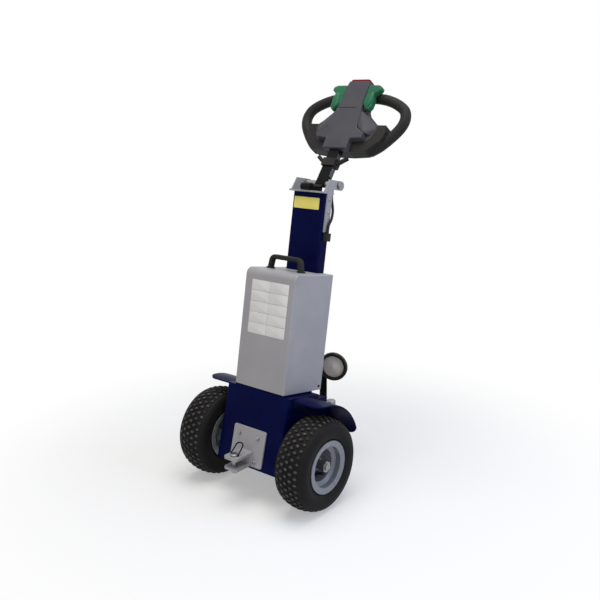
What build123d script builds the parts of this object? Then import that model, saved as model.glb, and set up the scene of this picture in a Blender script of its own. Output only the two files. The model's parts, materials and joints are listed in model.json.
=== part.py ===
from build123d import *
import os
from math import atan2, cos, degrees, radians, sin, tan

# Walk-behind electric tow tug, in millimetres.
# It stands as it parks, leaning back on its rear castor. The tow jaw faces -Y, the tiller points to +Y.
# The machine frame has its origin on the axle, y to the back and z up, before the lean.

# Stance
lean_angle = 10.0
origin_to_axle = 175.9

# Wheels
tyre_diameter = 276.0
tyre_width = 104.0
tread_half_width = 43.0
tread_crown = 9.0
wheel_track = 386.0
wheel_side_gap = 21.0
rim_flange_diameter = 156.0
bead_seat_diameter = 127.0
rim_well_diameter = 102.0
rim_half_width = 45.0
rim_wall = 3.0
rim_seat_ratio = 0.62
rim_well_ratio = 0.48
shaft_diameter = 20.0
shaft_inner_end = 30.0
hub_flange_diameter = 70.0
hub_flange_step = 4.0
hub_flange_thickness = 8.0
hub_barrel_diameter = 26.0
hub_barrel_end = 30.0
wheel_disc_inset = 8.0
wheel_disc_dish = 6.0
nut_across_flats = 30.0
nut_height = 12.0
shaft_end_length = 4.0
running_clearance = 0.3
seat_clearance = 0.3

# Chassis
chassis_wall = 4.0
chassis_top = 176.0
chassis_fold = 153.0
chassis_ledge = 163.0
chassis_bottom = -51.0
chassis_top_front = -56.0
chassis_fold_front = -62.0
chassis_front_bottom = -79.0
chassis_top_rear = 81.0
chassis_rear = 125.0
chassis_rear_bottom = 70.0
chassis_rear_knee = 20.0
chassis_bend_radius = 8.0
axle_hole_diameter = 46.0

# Drive unit
axle_tube_diameter = 60.0
axle_flange_diameter = 92.0
axle_flange_thickness = 6.0
gear_case_width = 92.0
gear_case_depth = 116.0
gear_case_top = 52.0
gear_case_bottom = -48.0
gear_case_corner = 16.0
motor_diameter = 100.0
motor_height = 94.0
motor_chamfer = 4.0

# Mudguards
guard_gap = 34.0
guard_sheet = 4.0
guard_front_angle = -14.0
guard_rear_angle = 67.0
guard_outer_reach = 28.0
guard_corner_radius = 28.0
guard_flange_height = 20.0

# Tow gear: the plate lies on the chassis front, the jaw is level with the floor
tow_plate_width = 124.0
tow_plate_height = 110.0
tow_plate_thickness = 6.0
tow_plate_bottom = -44.0
tow_plate_corner = 6.0
tow_plate_chamfer = 1.0
jaw_width = 50.0
jaw_front = -153.0
jaw_top = 153.0
jaw_gap = 24.0
jaw_thickness = 8.0
jaw_corner = 8.0
tow_pin_diameter = 16.0
tow_pin_y = -133.0
tow_pin_head_diameter = 24.0
tow_pin_head_height = 7.0
tow_pin_tail = 12.0
bail_wire = 4.0
bail_width = 24.0
bail_height = 40.0
bail_tilt = 46.0
bail_bend_radius = 9.6

# Battery, tray and cover
tray_thickness = 5.0
tray_inset = 2.0
cover_width = 190.0
cover_front = -56.0
cover_back = 121.0
cover_height = 351.0
cover_wall = 3.0
cover_front_radius = 20.0
cover_corner_radius = 5.0
cover_notch_gap = 2.0
battery_width = 168.0
battery_depth = 122.0
battery_headroom = 28.0
handle_spacing = 117.0
handle_height = 43.0
handle_bar_width = 20.0
handle_bar_height = 14.0
handle_bar_corner = 5.0
handle_splay = 6.0
handle_bend_radius = 13.0
handle_foot_diameter = 26.0
handle_foot_height = 4.0
handle_y = 11.0

# Column
column_width = 120.0
column_depth = 40.0
column_front = 83.0
column_top = 769.0
column_wall = 4.0
column_corner_radius = 6.0

# Tiller bracket
bracket_sheet = 4.0
bracket_plate_thickness = 5.0
bracket_front = 66.0
ear_front_bottom = 72.0
ear_front_top = 95.0
ear_top = 811.0
ear_end_radius = 14.0
ear_end_y = 155.0
leg_front = 92.0
leg_back = 116.0
leg_bottom = 655.0
pivot_y = 142.0
pivot_z = 797.0
pivot_bolt_diameter = 12.0
pivot_head_flats = 19.0
pivot_head_height = 8.0
sleeve_diameter = 22.0
stop_width = 46.0
stop_front = 70.0
stop_back = 116.0
stop_height = 14.0
stop_lip_height = 8.0
stop_lip_depth = 12.0
stop_barrel_diameter = 22.0
stop_barrel_inset = 6.0

# Tiller arm
arm_width = 38.0
arm_depth = 20.0
arm_angle = 26.8
arm_groove_width = 2.4
arm_groove_depth = 1.5
arm_groove_spacing = 5.6
arm_groove_start = 26.0
arm_groove_end = 108.0
clamp_along = 74.0
clamp_length = 26.0
clamp_wall = 5.0
clamp_ear_length = 40.0
clamp_ear_width = 13.0
clamp_ear_thickness = 12.0
clamp_ear_corner = 4.0
clamp_ear_rise = 35.0

# Tiller head, measured along its own underside
head_angle = 24.3
head_start_y = 178.9
head_start_z = 913.1
head_length = 240.0
head_seam = 22.0
head_thickness = 74.0
head_top_thickness = 40.0
head_slope_start = 100.0
neck_half_width = 45.0
neck_length = 35.0
shoulder_half_width = 88.0
shoulder_top = 55.0
shoulder_rake = 3.0
body_half_width = 55.0
body_along = 76.0
waist_half_width = 48.0
waist_along = 140.0
crown_half_width = 42.0
crown_along = 160.0
crown_nose = 23.0
crown_taper = 5.0
upper_start = 40.0
upper_start_half_width = 94.0
upper_shoulder_half_width = 114.0
upper_shoulder_low = 56.0
upper_shoulder_middle = 80.0
upper_shoulder_high = 98.0
upper_waist_along = 148.0
upper_low_step = 8.0
upper_high_step = 4.0
head_corner_radius = 5.0
head_edge_radius = 6.0
seam_groove_width = 2.5
seam_groove_depth = 1.5
seam_groove_along = 143.0
seam_groove_left = -42.0
seam_groove_right = 26.0

# Grip loop: its shape runs from the head top round to the yoke, as shares of its reach and its half height
grip_diameter = 33.0
grip_angle = 19.3
grip_along = 120.0
grip_depth = 45.0
grip_half_width = 204.5
grip_rise = 80.0
grip_drop = 100.0
grip_top_shape = [(0.37, 1.0), (0.553, 0.93), (0.707, 0.812), (0.846, 0.65), (0.957, 0.45), (1.0, 0.138)]
grip_low_shape = [(0.979, 0.12), (0.915, 0.33), (0.798, 0.6), (0.67, 0.84), (0.532, 1.0)]
yoke_depth = 40.0
yoke_half_width = 148.0
yoke_web_top = 96.0
yoke_low_corner = 100.0
yoke_low_rise = 6.0
yoke_wing_low = 40.0
yoke_wing_middle = 60.0
yoke_wing_inset = 10.0

# Head controls
throttle_front = 1.0
throttle_back = 19.0
throttle_low = 139.0
throttle_high = 226.0
throttle_lobe_x = 78.0
throttle_lobe_low = 150.0
throttle_lobe_high = 174.0
throttle_foot_x = 60.0
throttle_waist_x = 71.0
throttle_waist_along = 193.0
throttle_tip_x = 92.0
throttle_tip_low = 208.0
throttle_tip_high = 219.0
throttle_corner_radius = 5.0
throttle_edge_radius = 4.0
belly_height = 8.0
belly_half_width = 36.0
belly_inset = 2.0
belly_corner = 8.0
belly_edge_radius = 3.0
stop_button_diameter = 26.0
stop_button_height = 9.0
stop_button_share = 0.24
stop_button_depth = 53.0
gauge_width = 44.0
gauge_length = 26.0
gauge_height = 3.0
gauge_along = 74.0
gauge_corner = 4.0

# Cable
cable_diameter = 8.0
cable_x = 42.0
cable_side_offset = 9.5
cable_loop_low = 67.0
bend_share = 0.45
gland_width = 17.0
gland_depth = 20.0
gland_height = 24.0
gland_y = 104.0
gland_top = 653.0
gland_corner = 3.0

# Castor and its arm, measured on the floor from the axle
castor_swivel_y = 331.0
castor_wheel_diameter = 100.0
castor_wheel_width = 32.0
castor_tread_crown = 7.0
castor_hub_diameter = 72.0
castor_hub_wall = 5.0
castor_hub_slope = 3.0
castor_hub_inset = 2.0
castor_web_half = 6.0
castor_boss_wall = 8.0
castor_boss_slope = 2.0
castor_trail = 35.0
castor_axle_diameter = 12.0
castor_axle_end = 8.0
castor_nut_flats = 19.2
castor_nut_height = 7.0
castor_fork_gap = 3.0
castor_fork_wall = 4.0
castor_fork_leg_width = 30.0
castor_fork_front = 13.0
castor_fork_back = 22.0
castor_crown_diameter = 56.0
castor_crown_height = 10.0
castor_race_diameter = 46.0
castor_race_height = 6.0
castor_plate_size = 50.0
castor_plate_corner = 8.0
castor_plate_thickness = 5.0
kingpin_diameter = 31.0
kingpin_height = 42.0
kingpin_chamfer = 2.0
castor_arm_top = 140.0
castor_arm_sheet = 5.0
castor_arm_half_width = 32.0
castor_arm_flange = 10.0
castor_arm_end = 372.0
castor_arm_knee = 285.0
castor_arm_root_drop = 34.0

# Horn
horn_diameter = 94.0
horn_rim = 10.0
horn_rim_depth = 9.0
horn_depth = 26.0
horn_turn = 20.0
horn_y = 341.0
horn_z = 295.0
horn_dome = 1.0
horn_bowl_depth = 4.0
horn_bowl_ratio = 0.55
horn_groove_depth = 6.0
horn_back_ratio = 0.5
horn_back_step = 4.0
horn_post_shift = -42.0
horn_post_sheet = 5.0
horn_post_width = 24.0
horn_post_foot = 40.0
horn_post_foot_height = 12.0

# Worked-out values
axle_height = tyre_diameter / 2
axle_y = -origin_to_axle
machine = Location((0, axle_y, axle_height), (-lean_angle, 0, 0))
axle_axis = Axis((0, axle_y, axle_height), (1, 0, 0))
chassis_half_width = wheel_track / 2 - tyre_width / 2 - wheel_side_gap
front_slope = degrees(atan2(chassis_fold_front - chassis_front_bottom, chassis_fold - chassis_bottom))
cover_bottom = chassis_top + tray_thickness
battery_height = cover_height - cover_wall - battery_headroom
column_back = column_front + column_depth
guard_radius = axle_height + guard_gap
guard_outer_x = wheel_track / 2 + guard_outer_reach
rim_outer_radius = bead_seat_diameter / 2
tyre_bore_radius = rim_outer_radius + seat_clearance
crown_end = head_length - crown_nose


def placed(plane):
    """Plane of the machine frame, set where the leaning machine has it."""
    return Plane(machine * plane.location)


def side_plane(x):
    """Plane across the machine at x: local x runs back, local y runs up."""
    return placed(Plane.YZ.offset(x))


def front_plane(y):
    """Plane facing forward at machine depth y: local x to the right, local y up."""
    return placed(Plane.XZ.offset(-y))


def level_plane(z):
    """Plane level with the machine at height z: local x to the right, local y back."""
    return placed(Plane.XY.offset(z))


def head_plane(depth):
    """Plane of the tiller head at a depth behind its underside: local y runs along the head."""
    tilt = radians(head_angle)
    start = (0, head_start_y + depth * cos(tilt), head_start_z - depth * sin(tilt))
    return placed(Plane(origin=start, x_dir=(1, 0, 0), z_dir=(0, -cos(tilt), sin(tilt))))


def head_side_plane(x):
    """Plane across the head at x: local x runs into the head, local y along it."""
    tilt = radians(head_angle)
    along = (0, cos(tilt), -sin(tilt))
    return placed(Plane(origin=(x, head_start_y, head_start_z), x_dir=along, z_dir=(1, 0, 0)))


def arm_plane(x):
    """Plane across the tiller arm at x: local x runs along the arm from its pivot."""
    tilt = radians(arm_angle)
    return placed(Plane(origin=(x, pivot_y, pivot_z), x_dir=(0, sin(tilt), cos(tilt)), z_dir=(1, 0, 0)))


def tow_plane(out):
    """Plane on the sloping chassis front, moved out from it: local y runs up the slope."""
    tilt = radians(front_slope)
    foot_y = chassis_front_bottom + (0 - chassis_bottom) * tan(tilt)
    start = (0, foot_y - out * cos(tilt), out * sin(tilt))
    return placed(Plane(origin=start, x_dir=(1, 0, 0), z_dir=(0, -cos(tilt), sin(tilt))))


def floor_side_plane(x):
    """Upright plane across the machine at x, on the floor under the axle: local x back, local y up."""
    return Plane(origin=(x, axle_y, 0), x_dir=(0, 1, 0), z_dir=(1, 0, 0))


def floor_plane(y, z):
    """Level plane at height z above the floor, y behind the axle."""
    return Plane.XY.offset(z).shift_origin((0, axle_y + y, z))


def tow_face_y(z):
    """How far behind the axle the tow plate's face is at height z above the floor."""
    face = tow_plane(tow_plate_thickness)
    return face.origin.Y - axle_y + (z - face.origin.Z) * face.y_dir.Y / face.y_dir.Z


def smooth_radii(points):
    """Bend radii that round every corner of a path of points almost as far as its runs allow."""
    radii = []
    for before, corner, after in zip(points, points[1:], points[2:]):
        first_run = Vector(*corner) - Vector(*before)
        second_run = Vector(*after) - Vector(*corner)
        turn = radians(first_run.get_angle(second_run))
        radii.append(bend_share * min(first_run.length, second_run.length) / tan(turn / 2))
    return radii


os.makedirs("parts", exist_ok=True)

# Chassis shell: sloping front with a fold under the cover, and a lower ledge behind for the column
with BuildPart() as chassis_shell:
    with BuildSketch(side_plane(0)):
        with BuildLine():
            Polyline(
                (chassis_fold_front, chassis_fold),
                (chassis_top_front, chassis_top),
                (chassis_top_rear, chassis_top),
                (chassis_top_rear, chassis_ledge),
                (chassis_rear, chassis_ledge),
                (chassis_rear, chassis_rear_knee),
                (chassis_rear_bottom, chassis_bottom),
                (chassis_front_bottom, chassis_bottom),
                close=True,
            )
        make_face()
    extrude(amount=chassis_half_width, both=True)
    front_face = chassis_shell.faces().filter_by(GeomType.PLANE).sort_by(Axis.Y)[0]
    front_corners = front_face.edges().filter_by(Axis.X, reverse=True)
    fillet(front_corners, chassis_bend_radius)
    open_faces = chassis_shell.faces().filter_by(GeomType.PLANE).sort_by(Axis.Z)[:2]
    offset(amount=-chassis_wall, openings=open_faces)
    with BuildSketch(side_plane(0)):
        Circle(axle_hole_diameter / 2)
    extrude(amount=chassis_half_width * 2, both=True, mode=Mode.SUBTRACT)
chassis_shell.part.label = "chassis_shell"
export_step(chassis_shell.part, "parts/chassis_shell.step")

# Axle tube with its gear case, and the motor that stands on it
inside_half_width = chassis_half_width - chassis_wall
with BuildPart() as axle_housing:
    with BuildSketch(side_plane(0)):
        Circle(axle_tube_diameter / 2)
    extrude(amount=inside_half_width, both=True)
    with BuildSketch(side_plane(0)):
        with Locations((0, (gear_case_top + gear_case_bottom) / 2)):
            RectangleRounded(gear_case_depth, gear_case_top - gear_case_bottom, gear_case_corner)
    extrude(amount=gear_case_width / 2, both=True)
    for side in (-1, 1):
        with BuildSketch(side_plane(side * inside_half_width)):
            Circle(axle_flange_diameter / 2)
        extrude(amount=-side * axle_flange_thickness)
    with BuildSketch(side_plane(0)):
        Circle(shaft_diameter / 2 + running_clearance)
    extrude(amount=inside_half_width, both=True, mode=Mode.SUBTRACT)
axle_housing.part.label = "axle_housing"
export_step(axle_housing.part, "parts/axle_housing.step")

with BuildPart() as drive_motor:
    with BuildSketch(level_plane(gear_case_top)):
        Circle(motor_diameter / 2)
    extrude(amount=motor_height)
    chamfer(drive_motor.edges().group_by(Axis.Z)[-1], motor_chamfer)
drive_motor.part.label = "drive_motor"
export_step(drive_motor.part, "parts/drive_motor.step")

# Mudguards: a curved sheet over each wheel with a flange on the chassis side
for side, name in ((-1, "left"), (1, "right")):
    arc_size = guard_rear_angle - guard_front_angle
    flange_start = side * chassis_half_width
    outer_radius = guard_radius + guard_sheet
    flange_radius = outer_radius - guard_flange_height
    with BuildPart() as mudguard:
        with BuildSketch(side_plane(flange_start)):
            with BuildLine():
                outer = CenterArc((0, 0), outer_radius, 90 - guard_rear_angle, arc_size)
                inner = CenterArc((0, 0), guard_radius, 90 - guard_rear_angle, arc_size)
                Line(outer @ 0, inner @ 0)
                Line(outer @ 1, inner @ 1)
            make_face()
        extrude(amount=side * (guard_outer_x - chassis_half_width))
        outer_corners = mudguard.edges().filter_by(GeomType.LINE).filter_by(Axis.X, reverse=True)
        outer_corners = outer_corners.sort_by(Axis.X)[-2:] if side > 0 else outer_corners.sort_by(Axis.X)[:2]
        fillet(outer_corners, guard_corner_radius)
        with BuildSketch(side_plane(flange_start)):
            with BuildLine():
                outer = CenterArc((0, 0), outer_radius, 90 - guard_rear_angle, arc_size)
                inner = CenterArc((0, 0), flange_radius, 90 - guard_rear_angle, arc_size)
                Line(outer @ 0, inner @ 0)
                Line(outer @ 1, inner @ 1)
            make_face()
        extrude(amount=side * guard_sheet)
    mudguard.part.label = f"mudguard_{name}"
    export_step(mudguard.part, f"parts/mudguard_{name}.step")

# Wheels: pneumatic tyre, pressed steel rim, hub with its stub shaft, barrel and nut
for side, name in ((-1, "left"), (1, "right")):
    wheel_x = side * wheel_track / 2
    wheel_plane = Plane(origin=(wheel_x, axle_y, axle_height), x_dir=(side, 0, 0), z_dir=(0, -side, 0))
    tread_radius = tyre_diameter / 2
    shoulder_radius = tread_radius - tread_crown
    flange_radius = rim_flange_diameter / 2
    bead_half_width = rim_half_width - rim_wall
    with BuildPart() as tyre:
        with BuildSketch(wheel_plane):
            with BuildLine():
                ThreePointArc(
                    (-tread_half_width, shoulder_radius),
                    (0, tread_radius),
                    (tread_half_width, shoulder_radius),
                )
                belly_radius = (shoulder_radius + flange_radius) / 2
                for edge in (-1, 1):
                    ThreePointArc(
                        (edge * tread_half_width, shoulder_radius),
                        (edge * tyre_width / 2, belly_radius),
                        (edge * bead_half_width, flange_radius),
                    )
                    Line((edge * bead_half_width, flange_radius), (edge * bead_half_width, tyre_bore_radius))
                Line((-bead_half_width, tyre_bore_radius), (bead_half_width, tyre_bore_radius))
            make_face()
        revolve(axis=axle_axis)
    tyre.part.label = f"tyre_{name}"
    export_step(tyre.part, f"parts/tyre_{name}.step")

    seat_line = rim_outer_radius - rim_wall / 2
    well_line = rim_well_diameter / 2 - rim_wall / 2
    disc_line = -wheel_disc_inset
    with BuildPart() as rim:
        with BuildSketch(wheel_plane):
            with BuildLine():
                Polyline(
                    (rim_half_width + rim_wall / 2, flange_radius),
                    (rim_half_width - rim_wall / 2 + seat_clearance, seat_line),
                    (rim_half_width * rim_seat_ratio, seat_line),
                    (rim_half_width * rim_well_ratio, well_line),
                    (-rim_half_width * rim_well_ratio, well_line),
                    (-rim_half_width * rim_seat_ratio, seat_line),
                    (-rim_half_width + rim_wall / 2 - seat_clearance, seat_line),
                    (-rim_half_width - rim_wall / 2, flange_radius),
                )
            trace(line_width=rim_wall)
            with BuildLine():
                Polyline(
                    (disc_line - wheel_disc_dish, well_line),
                    (disc_line, hub_flange_diameter / 2),
                    (disc_line, shaft_diameter / 2 + running_clearance),
                )
            trace(line_width=rim_wall)
        revolve(axis=axle_axis)
    rim.part.label = f"rim_{name}"
    export_step(rim.part, f"parts/rim_{name}.step")

    disc_inner = disc_line - rim_wall / 2
    disc_outer = disc_line + rim_wall / 2
    shaft_length = wheel_track / 2 - shaft_inner_end + hub_barrel_end + nut_height + shaft_end_length
    out_way = (side, 0, 0)
    with BuildPart() as hub:
        with BuildSketch(Plane(origin=(side * shaft_inner_end, axle_y, axle_height), z_dir=out_way)):
            Circle(shaft_diameter / 2)
        extrude(amount=shaft_length)
        with BuildSketch(Plane(origin=(wheel_x + side * disc_inner, axle_y, axle_height), z_dir=out_way)):
            Circle(hub_flange_diameter / 2 - hub_flange_step)
        extrude(amount=-hub_flange_thickness)
        with BuildSketch(Plane(origin=(wheel_x + side * disc_outer, axle_y, axle_height), z_dir=out_way)):
            Circle(hub_barrel_diameter / 2)
        extrude(amount=hub_barrel_end - disc_outer)
        with BuildSketch(Plane(origin=(wheel_x + side * hub_barrel_end, axle_y, axle_height), z_dir=out_way)):
            RegularPolygon(nut_across_flats / 2, 6, major_radius=False)
        extrude(amount=nut_height)
    hub.part.label = f"hub_{name}"
    export_step(hub.part, f"parts/hub_{name}.step")

# Tow plate on the sloping chassis front, jaw level with the floor, pin and bail
with BuildPart() as tow_plate:
    with BuildSketch(tow_plane(0)):
        with Locations((0, tow_plate_bottom + tow_plate_height / 2)):
            RectangleRounded(tow_plate_width, tow_plate_height, tow_plate_corner)
    extrude(amount=tow_plate_thickness)
    chamfer(tow_plate.faces().sort_by(Axis.Y)[0].edges(), tow_plate_chamfer)
tow_plate.part.label = "tow_plate"
export_step(tow_plate.part, "parts/tow_plate.step")

jaw_bottom = jaw_top - jaw_gap - 2 * jaw_thickness
gap_top = jaw_top - jaw_thickness
gap_bottom = jaw_bottom + jaw_thickness
with BuildPart() as tow_jaw:
    with BuildSketch(floor_side_plane(0)):
        with BuildLine():
            Polyline(
                (jaw_front, jaw_top),
                (tow_face_y(jaw_top), jaw_top),
                (tow_face_y(jaw_bottom), jaw_bottom),
                (jaw_front, jaw_bottom),
                (jaw_front, gap_bottom),
                (tow_face_y(gap_bottom) - jaw_thickness, gap_bottom),
                (tow_face_y(gap_top) - jaw_thickness, gap_top),
                (jaw_front, gap_top),
                close=True,
            )
        make_face()
    extrude(amount=jaw_width / 2, both=True)
    jaw_corners = tow_jaw.edges().filter_by(Axis.Z).sort_by(Axis.Y)[:4]
    fillet(jaw_corners, jaw_corner)
    with BuildSketch(floor_plane(tow_pin_y, jaw_bottom)):
        Circle(tow_pin_diameter / 2 + running_clearance)
    extrude(amount=jaw_top - jaw_bottom, mode=Mode.SUBTRACT)
tow_jaw.part.label = "tow_jaw"
export_step(tow_jaw.part, "parts/tow_jaw.step")

with BuildPart() as tow_pin:
    with BuildSketch(floor_plane(tow_pin_y, jaw_bottom - tow_pin_tail)):
        Circle(tow_pin_diameter / 2)
    extrude(amount=jaw_top - jaw_bottom + tow_pin_tail + tow_pin_head_height)
    with BuildSketch(floor_plane(tow_pin_y, jaw_top)):
        Circle(tow_pin_head_diameter / 2)
    extrude(amount=tow_pin_head_height)
    head_rim = tow_pin.edges().filter_by(GeomType.CIRCLE).sort_by(Axis.Z)[-1]
    fillet(head_rim, tow_pin_head_height / 2)
tow_pin.part.label = "tow_pin"
export_step(tow_pin.part, "parts/tow_pin.step")

bail_lean = radians(bail_tilt)
bail_foot = floor_plane(tow_pin_y, jaw_top + tow_pin_head_height / 3).origin
bail_plane = Plane(origin=bail_foot, x_dir=(1, 0, 0), z_dir=(0, -cos(bail_lean), sin(bail_lean)))
bail_half = tow_pin_head_diameter / 2 + bail_wire / 2 + seat_clearance
with BuildPart() as pin_bail:
    with BuildLine(bail_plane) as bail_path:
        FilletPolyline(
            (-bail_half, 0),
            (-bail_width / 2, bail_height),
            (bail_width / 2, bail_height),
            (bail_half, 0),
            radius=bail_bend_radius,
        )
    with BuildSketch(Plane(origin=bail_path.line @ 0, z_dir=bail_path.line % 0)):
        Circle(bail_wire / 2)
    sweep()
pin_bail.part.label = "pin_bail"
export_step(pin_bail.part, "parts/pin_bail.step")

# Battery tray on the chassis top, battery, sheet cover with its handle
notch_front = column_front - cover_notch_gap
tray_front = cover_front + tray_inset
with BuildPart() as battery_tray:
    with BuildSketch(level_plane(chassis_top)):
        with Locations((0, (tray_front + notch_front) / 2)):
            Rectangle(cover_width - 2 * tray_inset, notch_front - tray_front)
    extrude(amount=tray_thickness)
battery_tray.part.label = "battery_tray"
export_step(battery_tray.part, "parts/battery_tray.step")

notch_half_width = column_width / 2 + cover_notch_gap
with BuildPart() as battery_cover:
    with BuildSketch(level_plane(cover_bottom)):
        with Locations((0, (cover_front + cover_back) / 2)):
            Rectangle(cover_width, cover_back - cover_front)
        with Locations((0, (notch_front + cover_back) / 2)):
            Rectangle(2 * notch_half_width, cover_back - notch_front, mode=Mode.SUBTRACT)
    extrude(amount=cover_height)
    top_face = battery_cover.faces().sort_by(Axis.Z)[-1]
    front_edge = top_face.edges().filter_by(Axis.X).sort_by(Axis.Y)[0]
    fillet(front_edge, cover_front_radius)
    front_wall = battery_cover.faces().filter_by(GeomType.PLANE).sort_by(Axis.Y)[0]
    fillet(front_wall.edges().filter_by(Axis.X, reverse=True), cover_corner_radius)
    offset(amount=-cover_wall, openings=battery_cover.faces().sort_by(Axis.Z)[0])
battery_cover.part.label = "battery_cover"
export_step(battery_cover.part, "parts/battery_cover.step")

with BuildPart() as battery_block:
    with BuildSketch(level_plane(cover_bottom)):
        with Locations((0, (cover_front + notch_front) / 2)):
            Rectangle(battery_width, battery_depth)
    extrude(amount=battery_height)
battery_block.part.label = "battery_block"
export_step(battery_block.part, "parts/battery_block.step")

cover_top = cover_bottom + cover_height
handle_line = cover_top + handle_height - handle_bar_height / 2
handle_inner = handle_spacing / 2 - handle_splay
with BuildPart() as cover_handle:
    with BuildLine(front_plane(handle_y)) as handle_path:
        FilletPolyline(
            (-handle_spacing / 2, cover_top),
            (-handle_inner, handle_line),
            (handle_inner, handle_line),
            (handle_spacing / 2, cover_top),
            radius=handle_bend_radius,
        )
    handle_way = front_plane(handle_y).z_dir
    with BuildSketch(Plane(origin=handle_path.line @ 0, x_dir=handle_way, z_dir=handle_path.line % 0)):
        RectangleRounded(handle_bar_width, handle_bar_height, handle_bar_corner)
    sweep()
    with BuildSketch(level_plane(cover_top)):
        with Locations((-handle_spacing / 2, handle_y), (handle_spacing / 2, handle_y)):
            Circle(handle_foot_diameter / 2)
    extrude(amount=handle_foot_height)
    with BuildSketch(level_plane(cover_top)):
        with Locations((0, handle_y)):
            Rectangle(handle_spacing * 2, handle_foot_diameter * 2)
    extrude(amount=-handle_bar_height, mode=Mode.SUBTRACT)
cover_handle.part.label = "cover_handle"
export_step(cover_handle.part, "parts/cover_handle.step")

# Column on the chassis ledge
with BuildPart() as column:
    with BuildSketch(level_plane(chassis_ledge)):
        with Locations((0, column_front + column_depth / 2)):
            RectangleRounded(column_width, column_depth, column_corner_radius)
            RectangleRounded(
                column_width - 2 * column_wall,
                column_depth - 2 * column_wall,
                column_corner_radius - column_wall,
                mode=Mode.SUBTRACT,
            )
    extrude(amount=column_top - chassis_ledge)
column.part.label = "column"
export_step(column.part, "parts/column.step")

# Tiller bracket: a plate on the column top between two cheeks with legs down the column sides
bracket_half_width = column_width / 2 + bracket_sheet
ear_bottom = ear_top - 2 * ear_end_radius
with BuildPart() as tiller_bracket:
    with BuildSketch(level_plane(column_top)):
        with Locations((0, (bracket_front + column_back) / 2)):
            Rectangle(2 * bracket_half_width, column_back - bracket_front)
    extrude(amount=bracket_plate_thickness)
    for side in (-1, 1):
        with BuildSketch(side_plane(side * column_width / 2)):
            with BuildLine():
                Polyline(
                    (ear_end_y, ear_top),
                    (ear_front_top, ear_top),
                    (ear_front_bottom, column_top),
                    (leg_front, column_top),
                    (leg_front, leg_bottom),
                    (leg_back, leg_bottom),
                    (leg_back, ear_bottom),
                    (ear_end_y, ear_bottom),
                )
                ThreePointArc(
                    (ear_end_y, ear_bottom),
                    (ear_end_y + ear_end_radius, ear_top - ear_end_radius),
                    (ear_end_y, ear_top),
                )
            make_face()
            with Locations((pivot_y, pivot_z)):
                Circle(pivot_bolt_diameter / 2 + running_clearance, mode=Mode.SUBTRACT)
        extrude(amount=side * bracket_sheet)
tiller_bracket.part.label = "tiller_bracket"
export_step(tiller_bracket.part, "parts/tiller_bracket.step")

with BuildPart() as pivot_bolt:
    with BuildSketch(side_plane(0)):
        with Locations((pivot_y, pivot_z)):
            Circle(pivot_bolt_diameter / 2)
    extrude(amount=bracket_half_width + pivot_head_height, both=True)
    for side in (-1, 1):
        with BuildSketch(side_plane(side * bracket_half_width)):
            with Locations((pivot_y, pivot_z)):
                RegularPolygon(pivot_head_flats / 2, 6, major_radius=False)
        extrude(amount=side * pivot_head_height)
        with BuildSketch(side_plane(side * (arm_width / 2 + running_clearance))):
            with Locations((pivot_y, pivot_z)):
                Circle(sleeve_diameter / 2)
        extrude(amount=side * (column_width / 2 - arm_width / 2 - running_clearance))
pivot_bolt.part.label = "pivot_bolt"
export_step(pivot_bolt.part, "parts/pivot_bolt.step")

stop_level = column_top + bracket_plate_thickness
with BuildPart() as tilt_stop:
    with BuildSketch(side_plane(0)):
        with BuildLine():
            Polyline(
                (stop_front, stop_level),
                (stop_back, stop_level),
                (stop_back, stop_level + stop_height + stop_lip_height),
                (stop_back - stop_lip_depth, stop_level + stop_height),
                (stop_front, stop_level + stop_height),
                close=True,
            )
        make_face()
    extrude(amount=stop_width / 2, both=True)
    with BuildSketch(side_plane(0)):
        with Locations((stop_front, stop_level + stop_barrel_diameter / 2)):
            Circle(stop_barrel_diameter / 2)
    extrude(amount=stop_width / 2 - stop_barrel_inset, both=True)
tilt_stop.part.label = "tilt_stop"
export_step(tilt_stop.part, "parts/tilt_stop.step")

# Cable from the pivot sleeve round the column's right back corner into its gland
column_side = column_width / 2
with BuildPart() as cable_gland:
    with BuildSketch(level_plane(gland_top)):
        with Locations((column_side + gland_width / 2, gland_y)):
            RectangleRounded(gland_width, gland_depth, gland_corner)
    extrude(amount=-gland_height)
cable_gland.part.label = "cable_gland"
export_step(cable_gland.part, "parts/cable_gland.step")

cable_start_z = pivot_z - sleeve_diameter / 2 - seat_clearance
cable_out_x = column_side + cable_side_offset
cable_points = [
    (cable_x, pivot_y, cable_start_z),
    (cable_x, pivot_y, gland_top + cable_loop_low + column_depth),
    (column_side, (pivot_y + column_back) / 2, gland_top + cable_loop_low),
    (cable_out_x, leg_back, gland_top + column_depth),
    (cable_out_x, gland_y, gland_top + gland_height),
    (cable_out_x, gland_y, gland_top),
]
with BuildPart() as tiller_cable:
    with BuildLine(Plane(machine)) as cable_path:
        FilletPolyline(*cable_points, radius=smooth_radii(cable_points))
    with BuildSketch(Plane(origin=cable_path.line @ 0, z_dir=cable_path.line % 0)):
        Circle(cable_diameter / 2)
    sweep()
tiller_cable.part.label = "tiller_cable"
export_step(tiller_cable.part, "parts/tiller_cable.step")

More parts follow.
